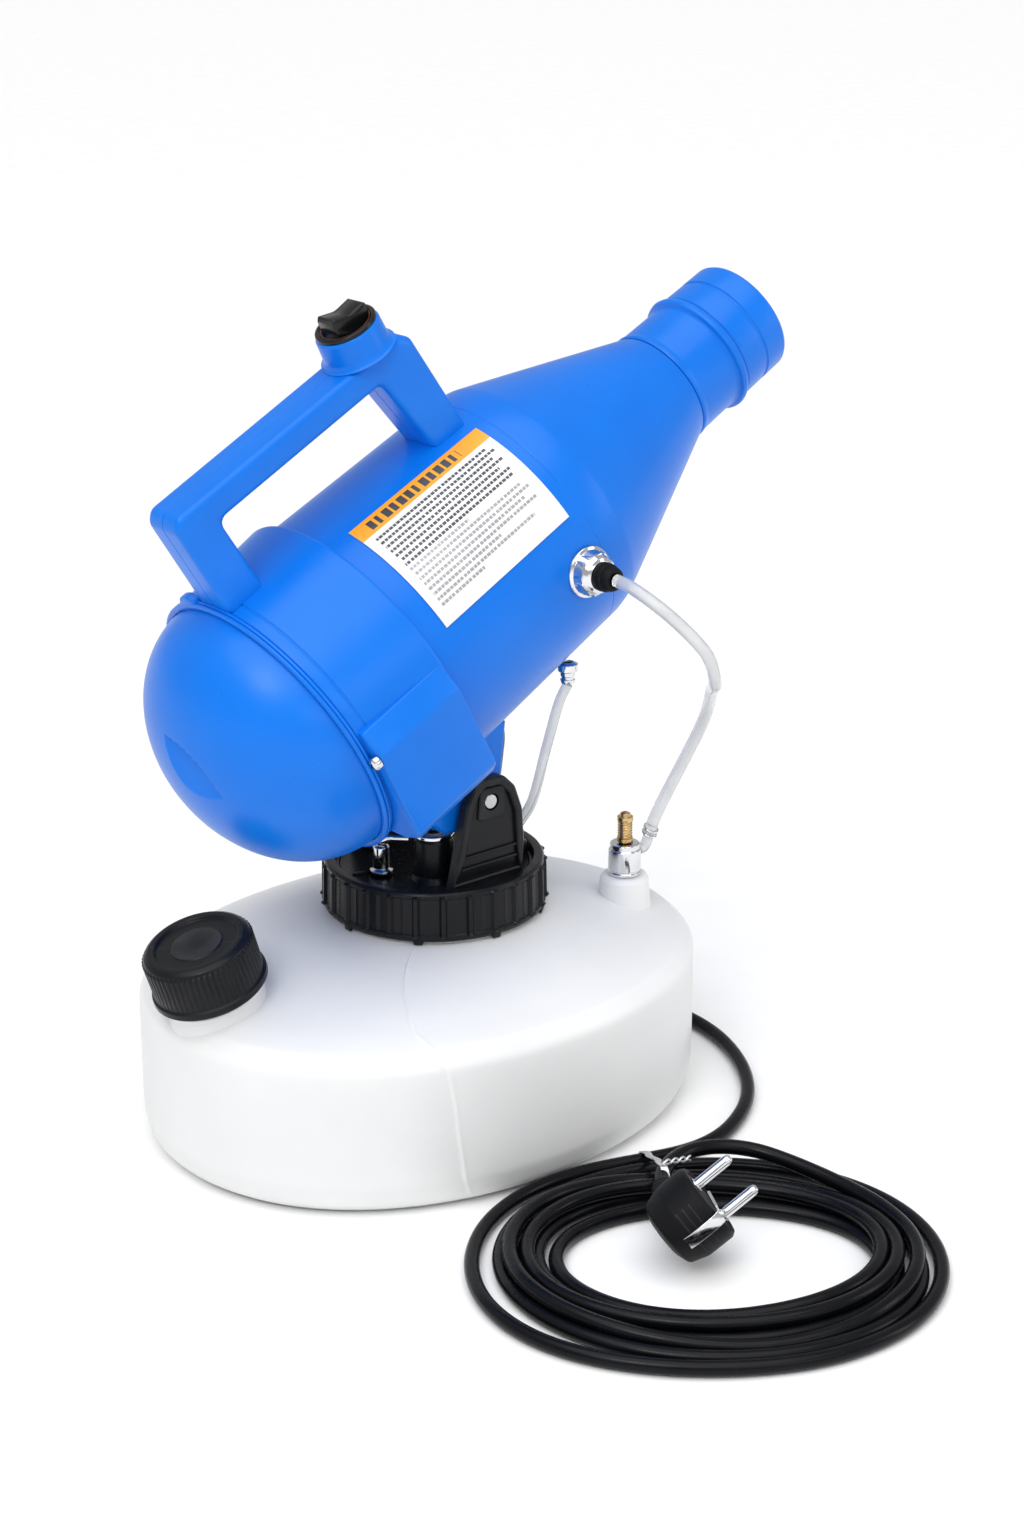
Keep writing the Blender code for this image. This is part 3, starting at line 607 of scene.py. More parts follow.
# layout of the seven turns: how far out and how high each one starts; phase runs counter-clockwise from the back
first = math.radians(74)
PLAN = [(1.00, 0.0), (0.82, 0.0), (0.58, 0.0), (0.30, 0.0), (0.02, 0.5), (0.18, 7.0), (0.46, 7.2), (0.66, 8.0)]
loose = []
for k in range(int(TURNS * 72) + 1):
    turn = k / 72.0
    lo = int(turn)
    share = turn - lo
    share = share * share * (3 - 2 * share)
    a, b = PLAN[min(lo, TURNS)], PLAN[min(lo + 1, TURNS)]
    out = a[0] + (b[0] - a[0]) * share + 0.05 * math.sin(2.3 * turn * math.pi + 0.9)
    z = 3.52 + a[1] + (b[1] - a[1]) * share
    phase = first + 2 * math.pi * turn
    dx = 3.2 * math.sin(1.7 * turn + 0.6)
    dy = 2.6 * math.cos(2.1 * turn + 0.9)
    fade = min(1.0, turn / 0.35)
    if turn < 0.9:   # the outermost turn swings wide on the left
        out += 0.42 * math.exp(-((phase - math.radians(200)) / 0.75) ** 2)
    loose.append(coil_point(phase, out, z, dx * fade, dy * fade))
tail_end = RELIEF.at(40.4)
tail_from = RELIEF.at(46.0)
tail_centre = tail_from + 31.0 * Vector((RELIEF.a.y, -RELIEF.a.x, 0)).normalized()
tail_turn = math.atan2(tail_from.y - tail_centre.y, tail_from.x - tail_centre.x)
TAIL = [tail_centre + Vector((31.0 * math.cos(a), 31.0 * math.sin(a), z - tail_centre.z)) for a, z in (
    (tail_turn - 1.85, 17.4), (tail_turn - 1.35, 19.4), (tail_turn - 0.9, 20.2), (tail_turn - 0.45, 19.2))] + [tail_from, tail_end]
last_phase = first + 2 * math.pi * TURNS - math.radians(46)
loose = loose[:int((TURNS - 46 / 360) * 72)]
rough_line = lead + loose[3:] + TAIL
line = smooth_route([rough_line[0]] + rough_line[3:-len(TAIL):3] + rough_line[-len(TAIL):], 7.0)
start = next(i for i, p in enumerate(line) if p.y < -126.0 and i > 40)
held = list(range(0, start)) + list(range(len(line) - 10, len(line)))
line = relax(line, held, CORD_D)
mains = even(smooth_route(line, 3.0), 3.0)


def ease(points, smallest, step=3, rounds=400):
    """Opens every bend tighter than smallest by spreading it over its neighbours; the two ends stay put."""
    p = np.array([list(v) for v in points])
    for _ in range(rounds):
        before, here, after = p[:-2 * step], p[step:-step], p[2 * step:]
        sag = (before + after) / 2 - here
        radius = np.sum((after - before) ** 2, axis=1) / (8 * np.linalg.norm(sag, axis=1) + 1e-9)
        tight = np.clip((smallest * 1.12 - radius) / (smallest * 0.12), 0.0, 1.0)
        tight[:2] = tight[-2:] = 0
        if tight.max() <= 0:
            break
        spread_out = np.convolve(tight, np.hanning(9)[1:-1], mode="same").clip(0, 1)
        p[step:-step] += 0.22 * spread_out[:, None] * sag
        p[1:-1] += 0.10 * ((p[:-2] + p[2:]) / 2 - p[1:-1])
        p[:, 2] = np.maximum(p[:, 2], 3.56)
    return [Vector(v) for v in p]


for _ in range(8):
    mains = even(ease(mains, 30.0, 3, 40), 3.0)
cord = cable("mains_cord", mains, CORD_D, CORD_BLACK, 5)
stand_for(cord, "base", "cord_black", "cord_lead", "cord_coil", "cord_tail")

# the silver twist tie that holds the band together at the back, wrapped round the strands it crosses
TIE_FROM, TIE_TO = Vector((37.0, -118.0, 0)), Vector((5.0, -173.0, 0))
tie_way = (TIE_TO - TIE_FROM).normalized()
tie_side = Vector((-tie_way.y, tie_way.x, 0))
crossed = []
for p, q in zip(mains, mains[1:]):
    d0, d1 = (p - TIE_FROM).dot(tie_side), (q - TIE_FROM).dot(tie_side)
    if d0 * d1 <= 0 and d0 != d1:
        hit = p.lerp(q, d0 / (d0 - d1))
        reach = (hit - TIE_FROM).dot(tie_way)
        if -3 < reach < 60:
            crossed.append((reach, hit.z))
cloud = sorted((t + 4.0 * math.cos(a), max(0.55, z + 4.0 * math.sin(a))) for t, z in crossed for a in [k * math.pi / 12 for k in range(24)])


def half_hull(points):
    out = []
    for p in points:
        while len(out) > 1 and (out[-1][0] - out[-2][0]) * (p[1] - out[-2][1]) - (out[-1][1] - out[-2][1]) * (p[0] - out[-2][0]) <= 0:
            out.pop()
        out.append(p)
    return out


outline = half_hull(cloud)[:-1] + half_hull(cloud[::-1])[:-1]
outline = [(Vector((t, z, 0))) for t, z in outline]
outline = even(smooth_route(even(outline + [outline[0]], 3.0), 1.2), 1.2)[:-1]
tie_rings = []
for i, p in enumerate(outline):
    along = (outline[(i + 1) % len(outline)] - outline[i - 1]).normalized()
    out_way = Vector((along.y, -along.x))
    sway = 0.5 * math.sin(i * 0.33)
    tie_rings.append([TIE_FROM + tie_way * (p.x + out_way.x * h) + tie_side * (w + sway) + WORLD_UP * max(0.1, p.y + out_way.y * h)
                      for w, h in soft([(-1.7, -0.35), (1.7, -0.35), (1.7, 0.35), (-1.7, 0.35)], 0.25, closed=True, steps=3)])
tie_pieces = [from_rings("tie_band", tie_rings, TIE, loop=True, angle=40)]
top_at = max(range(len(outline)), key=lambda i: outline[i].y - 0.02 * abs(outline[i].x - 20))
knot = TIE_FROM + tie_way * outline[top_at].x + WORLD_UP * (outline[top_at].y + 0.4)
twist = []
for strand in range(2):                          # its two ends, twisted round each other
    way = [knot + tie_side * (1.2 * t) + tie_way * (1.0 * math.cos(t * 1.1 + strand * math.pi)) + WORLD_UP * (0.8 + 0.12 * t + 1.0 * math.sin(t * 1.1 + strand * math.pi)) for t in [k * 0.5 for k in range(22)]]
    piece = cable("twist_%d" % strand, way, 1.1, TIE, 2)
    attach(piece, "base")
tie = join("twist_tie", tie_pieces, 40)
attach(tie, "base")
print("TIE strands", len(crossed), "outline", len(outline))

hose_foot = Vector((112.2, -38.0, 121.0))
ELBOW_UP = Vector((0.10, -0.30, 0.94)).normalized()
HOSE_ROUTE = [
    INLET.at(84.8), Vector((47.2, -92.0, 271.9)), Vector((49.0, -104.8, 267.6)), Vector((55.4, -115.4, 258.9)),
    Vector((69.5, -120.0, 242.6)), Vector((87.4, -107.7, 221.6)), Vector((101.8, -90.6, 210.8)), Vector((122.6, -62.6, 182.0)),
    hose_foot + ELBOW_UP * 10, hose_foot + ELBOW_UP * 0.6,
]
hose_line = smooth_route(HOSE_ROUTE, 2.5)
hose = stand_for(cable("feed_hose_clear", hose_line, HOSE_D, CLEAR, 6), "base", "clear_pvc", "feed_hose")
AIR = Frame(head(58, -33.0, -57.5), Vector((0, 0, -1)), (1, 0, 0))
AIR_ROUTE = [AIR.at(13.4), Vector((60.4, -30.9, 199.5)), Vector((55.4, -27.2, 176.2)), Vector((50.6, -21.6, 147.0)), Vector((46.4, -16.6, 135.6))]
air_line = smooth_route(AIR_ROUTE, 2.5)
air = stand_for(cable("air_hose_clear", air_line, AIR_HOSE_D, CLEAR, 6), "base", "clear_pvc", "air_hose")
# ================================================================ tank
TANK_AX, TANK_BY, TANK_N = 141.0, 113.0, 2.1
COLLAR_X = 8.25
NECK = Frame((COLLAR_X, 0, 0), WORLD_UP, (1, 0, 0))
RIDGE = [(0.0, -110.5), (13.0, -112.5), (28.0, -113.6), (55.0, -114.7), (71.0, -116.0), (80.0, -119.0), (90.0, -127.0), (101.0, -139.0)]


def ridge_angle(z):
    for (z0, a0), (z1, a1) in zip(RIDGE, RIDGE[1:]):
        if z <= z1:
            return math.radians(a0 + (a1 - a0) * max(0.0, z - z0) / (z1 - z0))
    return math.radians(RIDGE[-1][1])


def wrap(angle):
    return (angle + math.pi) % (2 * math.pi) - math.pi


RIDGE_AT = math.radians(-114.0)
columns = [2 * math.pi * i / 132 - math.pi for i in range(132)]
columns = [a for a in columns if abs(wrap(a - RIDGE_AT)) > math.radians(4.2)]
columns += [RIDGE_AT + math.radians(d) for d in (-3.2, -2.3, -1.6, -1.15, -0.8, -0.5, -0.25, 0.0, 0.25, 0.5, 0.8, 1.15, 1.6, 2.3, 3.2)]
columns.sort()


def tank_ring(z, inset, share=0.0, radius=0.0, ridge=1.0):
    out = []
    for column in columns:
        away = wrap(column - RIDGE_AT)
        angle = column + (ridge_angle(z) - RIDGE_AT) * math.exp(-((away / 0.5) ** 2))
        c, s = math.cos(angle), math.sin(angle)
        p = Vector(((TANK_AX - inset) * math.copysign(abs(c) ** (2 / TANK_N), c),
                    (TANK_BY - inset) * math.copysign(abs(s) ** (2 / TANK_N), s), z))
        if share:
            p = p.lerp(Vector((COLLAR_X + radius * math.cos(angle), radius * math.sin(angle), z)), share)
        arc = away * 108.0                       # millimetres along the wall from the parting line
        lift = ridge * (0.85 * math.exp(-((arc / 0.9) ** 2)) + 0.55 * max(0.0, min(1.0, arc / 2.0 + 0.3)) * max(0.0, 1 - max(0.0, arc) / 150.0))
        normal = Vector((p.x / TANK_AX ** 2, p.y / TANK_BY ** 2, 0)).normalized()
        if z > 70 and not share:
            normal = (normal * (1 - 0.75 * min(1.0, (z - 70) / 9)) + WORLD_UP * min(1.0, (z - 70) / 9)).normalized()
        if share:
            normal = (normal * (1 - 0.85 * min(1, share * 3)) + WORLD_UP * min(1, share * 3)).normalized()
        out.append(p + normal * lift)
    return out


foot_line = soft([(0.6, 16.5, 0), (0, 14, 1.5), (0, 10.5, 3), (5.5, 2.4, 9), (16, 0.0, 18), (40, 0.0, 0)], closed=False, steps=6)
tank_rings = [tank_ring(z, i, ridge=min(1.0, z / 6)) for z, i in foot_line]
tank_rings += [tank_ring(z, 0.0) for z in (48, 56, 62)]
tank_rings += [tank_ring(z, i) for z, i in soft([(66.5, 0.0, 0), (73.5, 0.1, 8), (79.5, 6.5, 6), (83.0, 14.0, 0)], steps=6)[1:]]
for k in range(1, 25):
    t = k / 24
    top = 83.0 + 17.0 * (t ** 0.92) + 1.0 * math.sin(math.pi * t)
    tank_rings.append(tank_ring(top, 14.0, t, 52.6, ridge=1.0 - t ** 6))
tank_rings += [circle_ring for circle_ring in (
    [Vector((COLLAR_X + r * math.cos(a), r * math.sin(a), z)) for a in columns] for r, z in ((50.4, 100.3), (49.4, 101.3), (49.2, 103), (49.2, 116.0), (48.6, 116.6)))]
tank = from_rings("tank_body", tank_rings, WHITE, angle=50)
FILLER_LEAN = math.radians(18.0)
FILLER = Frame((-117.0, 0, 82.0), (-math.sin(FILLER_LEAN), 0, math.cos(FILLER_LEAN)), (0, 1, 0))
neck_solid = lathe("filler_neck", FILLER, [(-18, 12), (-14, 26.5, 4), (-6, 25.4, 8), (1.0, 23.4, 8), (6, 22.2, 3), (8.2, 22.0, 0.5), (8.2, 23.6, 0.7),
                                            (10.4, 23.6, 0.7), (10.4, 21.8, 0.4), (31.4, 21.8, 0.6), (31.9, 20.6)], WHITE, 96)
boolean(tank, neck_solid, "UNION", 50)
OUTLET = Frame((99.0, -35.0, 0), WORLD_UP, (1, 0, 0))
boss_solid = lathe("outlet_boss", OUTLET, [(66, 12), (74, 17.5, 4), (81, 14.4, 7), (87, 13.1, 8), (94, 12.3, 4), (100.6, 11.9, 1.6), (102.5, 10.6, 1.2), (102.5, 4)],
                   WHITE, 80)
boolean(tank, boss_solid, "UNION", 50)
stand_for(tank, "base", "tank_hdpe", "tank_shell")

# ---------------------------------------------------------------- filler cap
RIBS = 60


def cap_rib(i, count, top):
    """Extra radius of a ribbed skirt at one of its columns."""
    k = i % 6
    return top * (1.0 if k in (1, 2, 3) else 0.0 if k in (5,) else 0.35)


cap_columns = RIBS * 6
cap_profile = soft([(36.2, 0.01), (36.2, 12.0, 0.3), (35.7, 12.6, 0.3), (35.7, 18.8, 0.5), (37.2, 19.8, 0.7), (37.2, 22.6, 1.6), (35.8, 24.9, 2.0),
                    (34.0, 25.4, 1.0), (16.6, 25.9, 0.6), (16.0, 27.0, 0.5), (13.2, 27.1, 0.7), (12.4, 26.4, 0.5), (12.0, 25.0, 0.3), (12.0, 22.5, 0),
                    (34.1, 22.5, 0), (34.1, 0.01, 0)], 0.5, steps=4)
cap_rings = []
for a, r in cap_profile:
    ring = []
    ribbed = 17.0 < a < 34.4 and r > 24.5
    for i in range(cap_columns):
        angle = 2 * math.pi * i / cap_columns
        rr = r + (cap_rib(i, cap_columns, 0.75) if ribbed else 0.0)
        ring.append(FILLER.at(a, rr * math.cos(angle), rr * math.sin(angle)))
    cap_rings.append(ring)
cap = from_rings("filler_cap_ribbed", cap_rings, BLACK, angle=30)
stand_for(cap, "cap", "black_plastic", "filler_cap")

# ================================================================ threaded collar
COLLAR_Z0, COLLAR_Z1, LID_Z = 101.8, 126.0, 122.2
collar_count = 26 * 14
collar_profile = soft([(101.9, 50.4, 0), (101.9, 52.6, 0.6), (103.6, 53.5, 0.8), (105.0, 53.5, 0.3), (105.6, 52.7, 0.3), (106.4, 52.5, 0), (121.0, 52.2, 0),
                       (122.6, 52.0, 0.4), (123.4, 52.6, 0.4), (124.6, 52.5, 0.6), (125.9, 51.6, 0.8), (125.9, 47.6, 0.6), (122.9, 46.8, 0.4),
                       (122.6, 46.7, 0), (122.6, 50.1, 0), (104.0, 50.2, 0)], 0.4, closed=True, steps=3)
collar_rings = []
for a, r in collar_profile:
    ring = []
    for i in range(collar_count):
        angle = 2 * math.pi * i / collar_count
        k = i % 14
        rib = 1.0 if k in (0, 1, 2) else 0.0
        inner = 1.0 if k in (8,) else 0.0        # a fine line between two ribs
        extra = 0.0
        if 104.5 < a < 124.2 and r > 51.5:
            extra = 1.45 * rib + 0.28 * inner
        lug = 0.0
        if (i // 14) % 3 == 1 and k in (0, 1, 2, 3, 4) and a < 104.5 and r > 51.0:
            extra += 0.5
            lug = 1.5
        ring.append(NECK.at(a - (lug if a < 102.5 else 0.0), (r + extra) * math.cos(angle), (r + extra) * math.sin(angle)))
    collar_rings.append(ring)
collar = from_rings("collar_ribbed", collar_rings, BLACK, loop=True, angle=28)
stand_for(collar, "collar", "black_plastic", "collar_ring")

# ================================================================ lid with its fork
def flat_ring(outline, y):
    return [Vector((x, y, z)) for x, z in outline]


lid_parts = [lathe("lid_disc", NECK, [(118.5, 0.01), (118.5, 49.2, 0.4), (122.2, 49.2, 0.5), (122.2, 45.4, 0.5), (121.4, 44.8, 0.3), (121.4, 0.01)], BLACK, 128)]
FORK = [(-12.5, 120.5, 0), (-8.5, 138, 8), (-3.0, 163, 8), (1.2, 170.5, 6), (6.5, 174.5, 6), (18.5, 174.2, 7), (25.8, 167, 6), (30.2, 155, 8), (31.4, 138, 8), (29.6, 120.5, 0)]
BOLT = Frame((12.0, 0, 162.0), (0, -1, 0), (1, 0, 0))


def cheek(name, y_out, y_in):
    """One upright of the fork: a rimmed plate with a recessed face, a window round the bolt and two ledges."""
    sign = 1 if y_out > y_in else -1
    outline = soft(FORK, 4, closed=True, steps=5)
    centre = Vector((9.5, 146.0))

    def inset(points, d, lowest):
        out = []
        n = len(points)
        for i, p in enumerate(points):
            a, b = Vector(points[i - 1]), Vector(points[(i + 1) % n])
            along = (b - a).normalized()
            normal = Vector((-along.y, along.x))
            q = Vector(p)
            if normal.dot(centre - q) < 0:
                normal = -normal
            moved = q + normal * d
            out.append((moved.x, max(moved.y, lowest) if d > 0 else moved.y))
        return out

    rim, floor_y = 3.6, y_out - sign * 2.0
    layers = [(0.9, y_in), (0.0, y_in + sign * 0.8), (0.0, y_out - sign * 0.9), (0.9, y_out)]
    rings = [flat_ring(inset(outline, d, 120.5), y) for d, y in layers]
    rings += [flat_ring(inset(outline, rim, 125.5), y_out), flat_ring(inset(outline, rim + 0.8, 126.3), y_out - sign * 0.5),
              flat_ring(inset(outline, rim + 1.1, 126.6), floor_y)]
    body = from_rings(name, rings, BLACK, angle=30)
    for z0, z1 in ((131.5, 132.8), (137.0, 138.2)):
        shelf = prism("ledge", [Vector((x, floor_y - sign * 0.4, z)) for x, z in ((-6.5, z0), (27.5, z0), (26.8, z1), (-5.4, z1))], (0, sign, 0), 1.7, BLACK, bevel=0.3)
        boolean(body, shelf, "UNION", 30)
    pad = from_rings("pad", [[Vector((12.0 + x * k, floor_y + sign * d, 161.0 + z * k)) for x, z in soft([(-8.2, -7.4), (8.6, -7.4), (8.0, 8.2), (-6.4, 8.2)], 2.4, closed=True)]
                             for k, d in ((1.0, -0.5), (1.0, 0.7), (0.93, 1.2))], BLACK)
    boolean(body, pad, "UNION", 30)
    boolean(body, lathe("bolt_hole", BOLT, [(-50, 4.25), (50, 4.25)], BLACK, 40, radius=0), "DIFFERENCE", 30)
    return body


lid_parts += [cheek("cheek_near", -40.0, -34.0), cheek("cheek_far", 40.0, 34.0)]
PILLAR = Frame((-4.5, -16.0, 0), WORLD_UP, (1, 0, 0))
lid_parts.append(lathe("pillar", PILLAR, [(120.5, 11.6), (121.8, 11.2, 0.8), (124.0, 9.6, 2.0), (141.2, 9.2, 0.5), (142.6, 8.6, 0.7), (142.6, 0.01)], BLACK, 64))
SPIGOT = Frame((46.0, -16.0, 0), WORLD_UP, (1, 0, 0))
lid_parts.append(lathe("spigot", SPIGOT, [(120.5, 6.6), (122.2, 5.6, 1.2), (127.0, 5.0, 0.5), (128.0, 4.0, 0.4), (129.2, 3.5, 0.3), (129.8, 3.1, 0.2), (130.4, 3.6, 0.3),
                                          (131.6, 3.2, 0.2), (132.2, 3.6, 0.3), (133.6, 3.1, 0.3), (134.0, 2.2, 0.2), (134.0, 0.01)], BLACK, 48))
for angle in (1.15, 2.0, 2.9, 3.8, 5.6):       # shallow moulded ribs of the lid's top
    c, s = math.cos(angle), math.sin(angle)
    centre = Vector((COLLAR_X + 33 * c, 33 * s, 120.8))
    along, across = Vector((c, s, 0)), Vector((-s, c, 0))
    lid_parts.append(prism("rib", [centre + along * a + across * b for a, b in ((-9, -0.8), (9, -0.8), (9, 0.8), (-9, 0.8))], (0, 0, 1), 1.7, BLACK, bevel=0.35))
lid = join("lid_with_fork", lid_parts, 30)
stand_for(lid, "base", "black_plastic", "head_plate")
stand_for(lathe("pillar_washer_turned", PILLAR, [(142.9, 3.0), (142.9, 9.9, 0.4), (144.9, 9.9, 0.6), (144.9, 8.2, 0.2), (144.4, 7.8, 0.2), (144.4, 3.0)], CHROME, 64, loop=True,
                radius=0.2), "base", "chrome", "pillar_washer")
TAP = Frame((-21.0, 3.0, 0), WORLD_UP, (1, 0, 0))
stand_for(lathe("tap_stud_turned", TAP, [(122.5, 0.01), (122.5, 5.5, 0.5), (124.0, 5.5, 0.5), (124.4, 4.4, 0.3), (125.0, 3.9, 0.4), (135.4, 3.9, 0.4), (136.2, 3.2, 0.3),
                                         (136.9, 2.3, 0.2), (136.9, 0.01)], CHROME, 48), "base", "chrome", "tap_stud")
LEVER_OUT, LEVER_SIDE = Vector((0.77, -0.64, 0)), Vector((0.64, 0.77, 0))


def lever_ring(reach, half, z0, z1):
    base = Vector((-21.0, 3.0, 0)) + LEVER_OUT * reach
    corner = soft([(-half, z0), (half, z0), (half, z1), (-half, z1)], min(half, (z1 - z0) / 2) * 0.7, closed=True, steps=4)
    return [base + LEVER_SIDE * x + Vector((0, 0, z)) for x, z in corner]


lever = from_rings("tap_lever_cast", [lever_ring(*v) for v in (
    (-3.6, 1.2, 138.0, 140.6), (-3.1, 2.3, 137.5, 141.1), (-1.5, 3.2, 137.3, 141.3), (0.5, 3.5, 137.3, 141.3), (2.6, 3.0, 137.3, 141.3), (4.2, 2.1, 137.7, 141.1),
    (6.0, 1.7, 138.0, 140.9), (10.5, 1.7, 138.0, 140.8), (12.6, 2.1, 137.8, 140.9), (13.6, 1.7, 138.1, 140.7), (14.0, 0.8, 138.7, 140.2))], CHROME, angle=45)
stand_for(lever, "tap", "chrome", "tap_lever")

# ================================================================ outlet valve
sleeve_parts = [lathe("sleeve", OUTLET, [(102.8, 3.3), (102.8, 8.1, 0.4), (104.2, 8.1, 0.3), (104.6, 7.6, 0.2), (105.2, 7.6, 0.2), (105.6, 8.0, 0.3), (115.6, 8.0, 0.5),
                                         (116.3, 7.3, 0.3), (118.6, 7.3, 0.6), (119.0, 6.4, 0.3), (119.0, 4.0, 0.3), (116.5, 3.3, 0.2)], CHROME, 64, loop=True)]
stand_for(join("outlet_sleeve_turned", sleeve_parts), "base", "chrome", "outlet_sleeve")
stem = []
a = 120.0
stem_profile = [(112, 0.01), (112, 2.9, 0.2), (119.4, 2.9, 0.2), (119.6, 3.9, 0.2), (121.4, 3.9, 0.2), (121.6, 3.2, 0.1)]
for k in range(6):
    z = 122.0 + k * 1.35
    stem_profile += [(z, 3.2, 0.1), (z + 0.45, 3.75, 0.15), (z + 0.9, 3.2, 0.1)]
stem_profile += [(130.2, 3.2, 0.1), (130.4, 3.9, 0.2), (132.4, 3.9, 0.3), (132.7, 2.7, 0.2), (134.0, 2.5, 0.3), (134.5, 1.6, 0.2), (134.5, 0.01)]
stem_object = lathe("valve_stem_turned", OUTLET, stem_profile, BRASS, 40)
slot_cut = prism("slot", [Vector((99 - 5, -35.45, 133.5)), Vector((99 + 5, -35.45, 133.5)), Vector((99 + 5, -34.55, 133.5)), Vector((99 - 5, -34.55, 133.5))], (0, 0, 1), 3.0, BRASS)
boolean(stem_object, slot_cut)
stand_for(stem_object, "valve", "brass", "valve_stem")
elbow_start = Vector((99.0 + 8.6, -35.0 - 1.0, 113.5))
elbow_line = smooth_route([elbow_start, elbow_start + Vector((2.4, -0.4, 0.4)), Vector((111.2, -36.9, 115.9)), hose_foot - ELBOW_UP * 0.1], 0.8)
elbow = cable("outlet_elbow_clear", elbow_line, 5.4, CLEAR, 6)
stand_for(elbow, "base", "clear_pvc", "outlet_elbow")
for k, at in enumerate((0.35, 3.2)):            # the wire clip that holds the hose on the elbow
    ring_frame = Frame(hose_foot + ELBOW_UP * at, ELBOW_UP, (1, 0, 0))
    turn_line = [ring_frame.at(0.5 * math.sin(i / 24 * 2 * math.pi), 3.55 * math.cos(i / 24 * 2 * math.pi), 3.55 * math.sin(i / 24 * 2 * math.pi)) for i in range(24)]
    wire = cable("hose_clip_%d" % (k + 1), turn_line, 0.9, CHROME, 2)
    wire.data.splines[0].use_cyclic_u = True
    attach(wire, "base")

# ================================================================ blower head shells
DOME_S0, DOME_S1, DOME_R = -127.0, -72.2, 67.0
JACKET_S0, JACKET_S1, JACKET_R0, JACKET_R1 = -71.9, -21.0, 69.0, 72.5
BARREL_S0, BARREL_R0, BARREL_S1, BARREL_R1 = -31.0, 68.3, 91.0, 64.7


def jacket_r(s):
    t = (s - JACKET_S0) / (JACKET_S1 - JACKET_S0)
    return JACKET_R0 + (JACKET_R1 - JACKET_R0) * min(1, max(0, t)) ** 0.8


def barrel_r(s):
    return BARREL_R0 + (BARREL_R1 - BARREL_R0) * (s - BARREL_S0) / (BARREL_S1 - BARREL_S0)


DIMPLE_Y, DIMPLE_H = -9.0, 19.5


def dimple(s, y, h):
    """How far the dome is sunk towards +s: a lens with a crisp upper edge and a soft lower one."""
    dy, dh = y - DIMPLE_Y, h - DIMPLE_H
    along = -0.77 * dy - 0.64 * dh
    across = -0.64 * dy + 0.77 * dh
    half = 7.5 * max(0.0, 1 - (along / 19.5) ** 2)
    if half <= 0.01 or s > -100:
        return 0.0
    t = across / half
    if t > 1 or t < -1.6:
        return 0.0
    if t > 0.55:
        deep = 1 - ((t - 0.55) / 0.45) ** 2
    else:
        deep = max(0.0, 1 - ((0.55 - t) / 2.15) ** 1.6)
    return 5.2 * deep * (half / 7.5) ** 0.8


dome_rings = []
dome_outer = []
for i in range(0, 61):
    t = i / 60
    angle = math.pi / 2 * (1 - (1 - t) ** 1.0)
    dome_outer.append((DOME_S1 - (DOME_S1 - DOME_S0) * math.cos(angle), DOME_R * math.sin(angle)))
dense = []
for (a0, r0), (a1, r1) in zip(dome_outer, dome_outer[1:]):
    steps = 2 if r0 < 42 else 1
    dense += [(a0 + (a1 - a0) * k / steps, r0 + (r1 - r0) * k / steps) for k in range(steps)]
dome_outer = dense + [dome_outer[-1]]
for s, r in dome_outer:
    if r < 0.01:
        dome_rings.append([head(s, 0, 0)])
        continue
    ring = []
    for i in range(192):
        phi = 2 * math.pi * i / 192
        y, h = -r * math.sin(phi), r * math.cos(phi)
        ring.append(head(s + dimple(s, y, h), y, h))
    dome_rings.append(ring)
dome_rings += [circle(HEAD, DOME_S1, DOME_R - 2.4, 192), circle(HEAD, -90, 60.5, 192), circle(HEAD, -112, 40, 192), circle(HEAD, -119, 18, 192), [HEAD.at(-121.5)]]
dome = from_rings("rear_dome_shell", dome_rings, BLUE, angle=28)
stand_for(dome, "base", "blue_shell", "rear_dome")

bead = soft([(-75.7, 67.2, 0), (-76.0, 68.6, 0.8), (-75.3, 70.0, 0.9), (-74.3, 69.9, 0.6), (-74.0, 68.9, 0.35), (-73.7, 69.9, 0.6), (-72.7, 70.1, 0.7), (-72.1, 69.2, 0.5),
             (-72.1, 67.3, 0)], 0.4, closed=True, steps=4)
seam_rings = [circle(HEAD, a, r, 192) for a, r in bead]
seam = from_rings("seam_beads", seam_rings, BLUE, loop=True, angle=40)
ear_line = soft([(-7.5, 64.0, 0), (-7.2, 70.6, 3), (-3.0, 73.6, 4), (3.6, 73.4, 4), (7.2, 70.2, 3), (7.6, 64.0, 0)], 2, closed=True, steps=5)
ear_turn = math.radians(-16.5)
ear = [head(-75.4, x * math.cos(ear_turn) - z * math.sin(ear_turn), x * math.sin(ear_turn) + z * math.cos(ear_turn)) for x, z in ear_line]
ear_piece = prism("ear", ear, HEAD_AXIS, 4.6, BLUE, bevel=0.9)
seam = join("seam_beads", [seam, ear_piece], 40)
seam.name = "seam_double_bead"
stand_for(seam, "base", "blue_shell", "seam_ring")

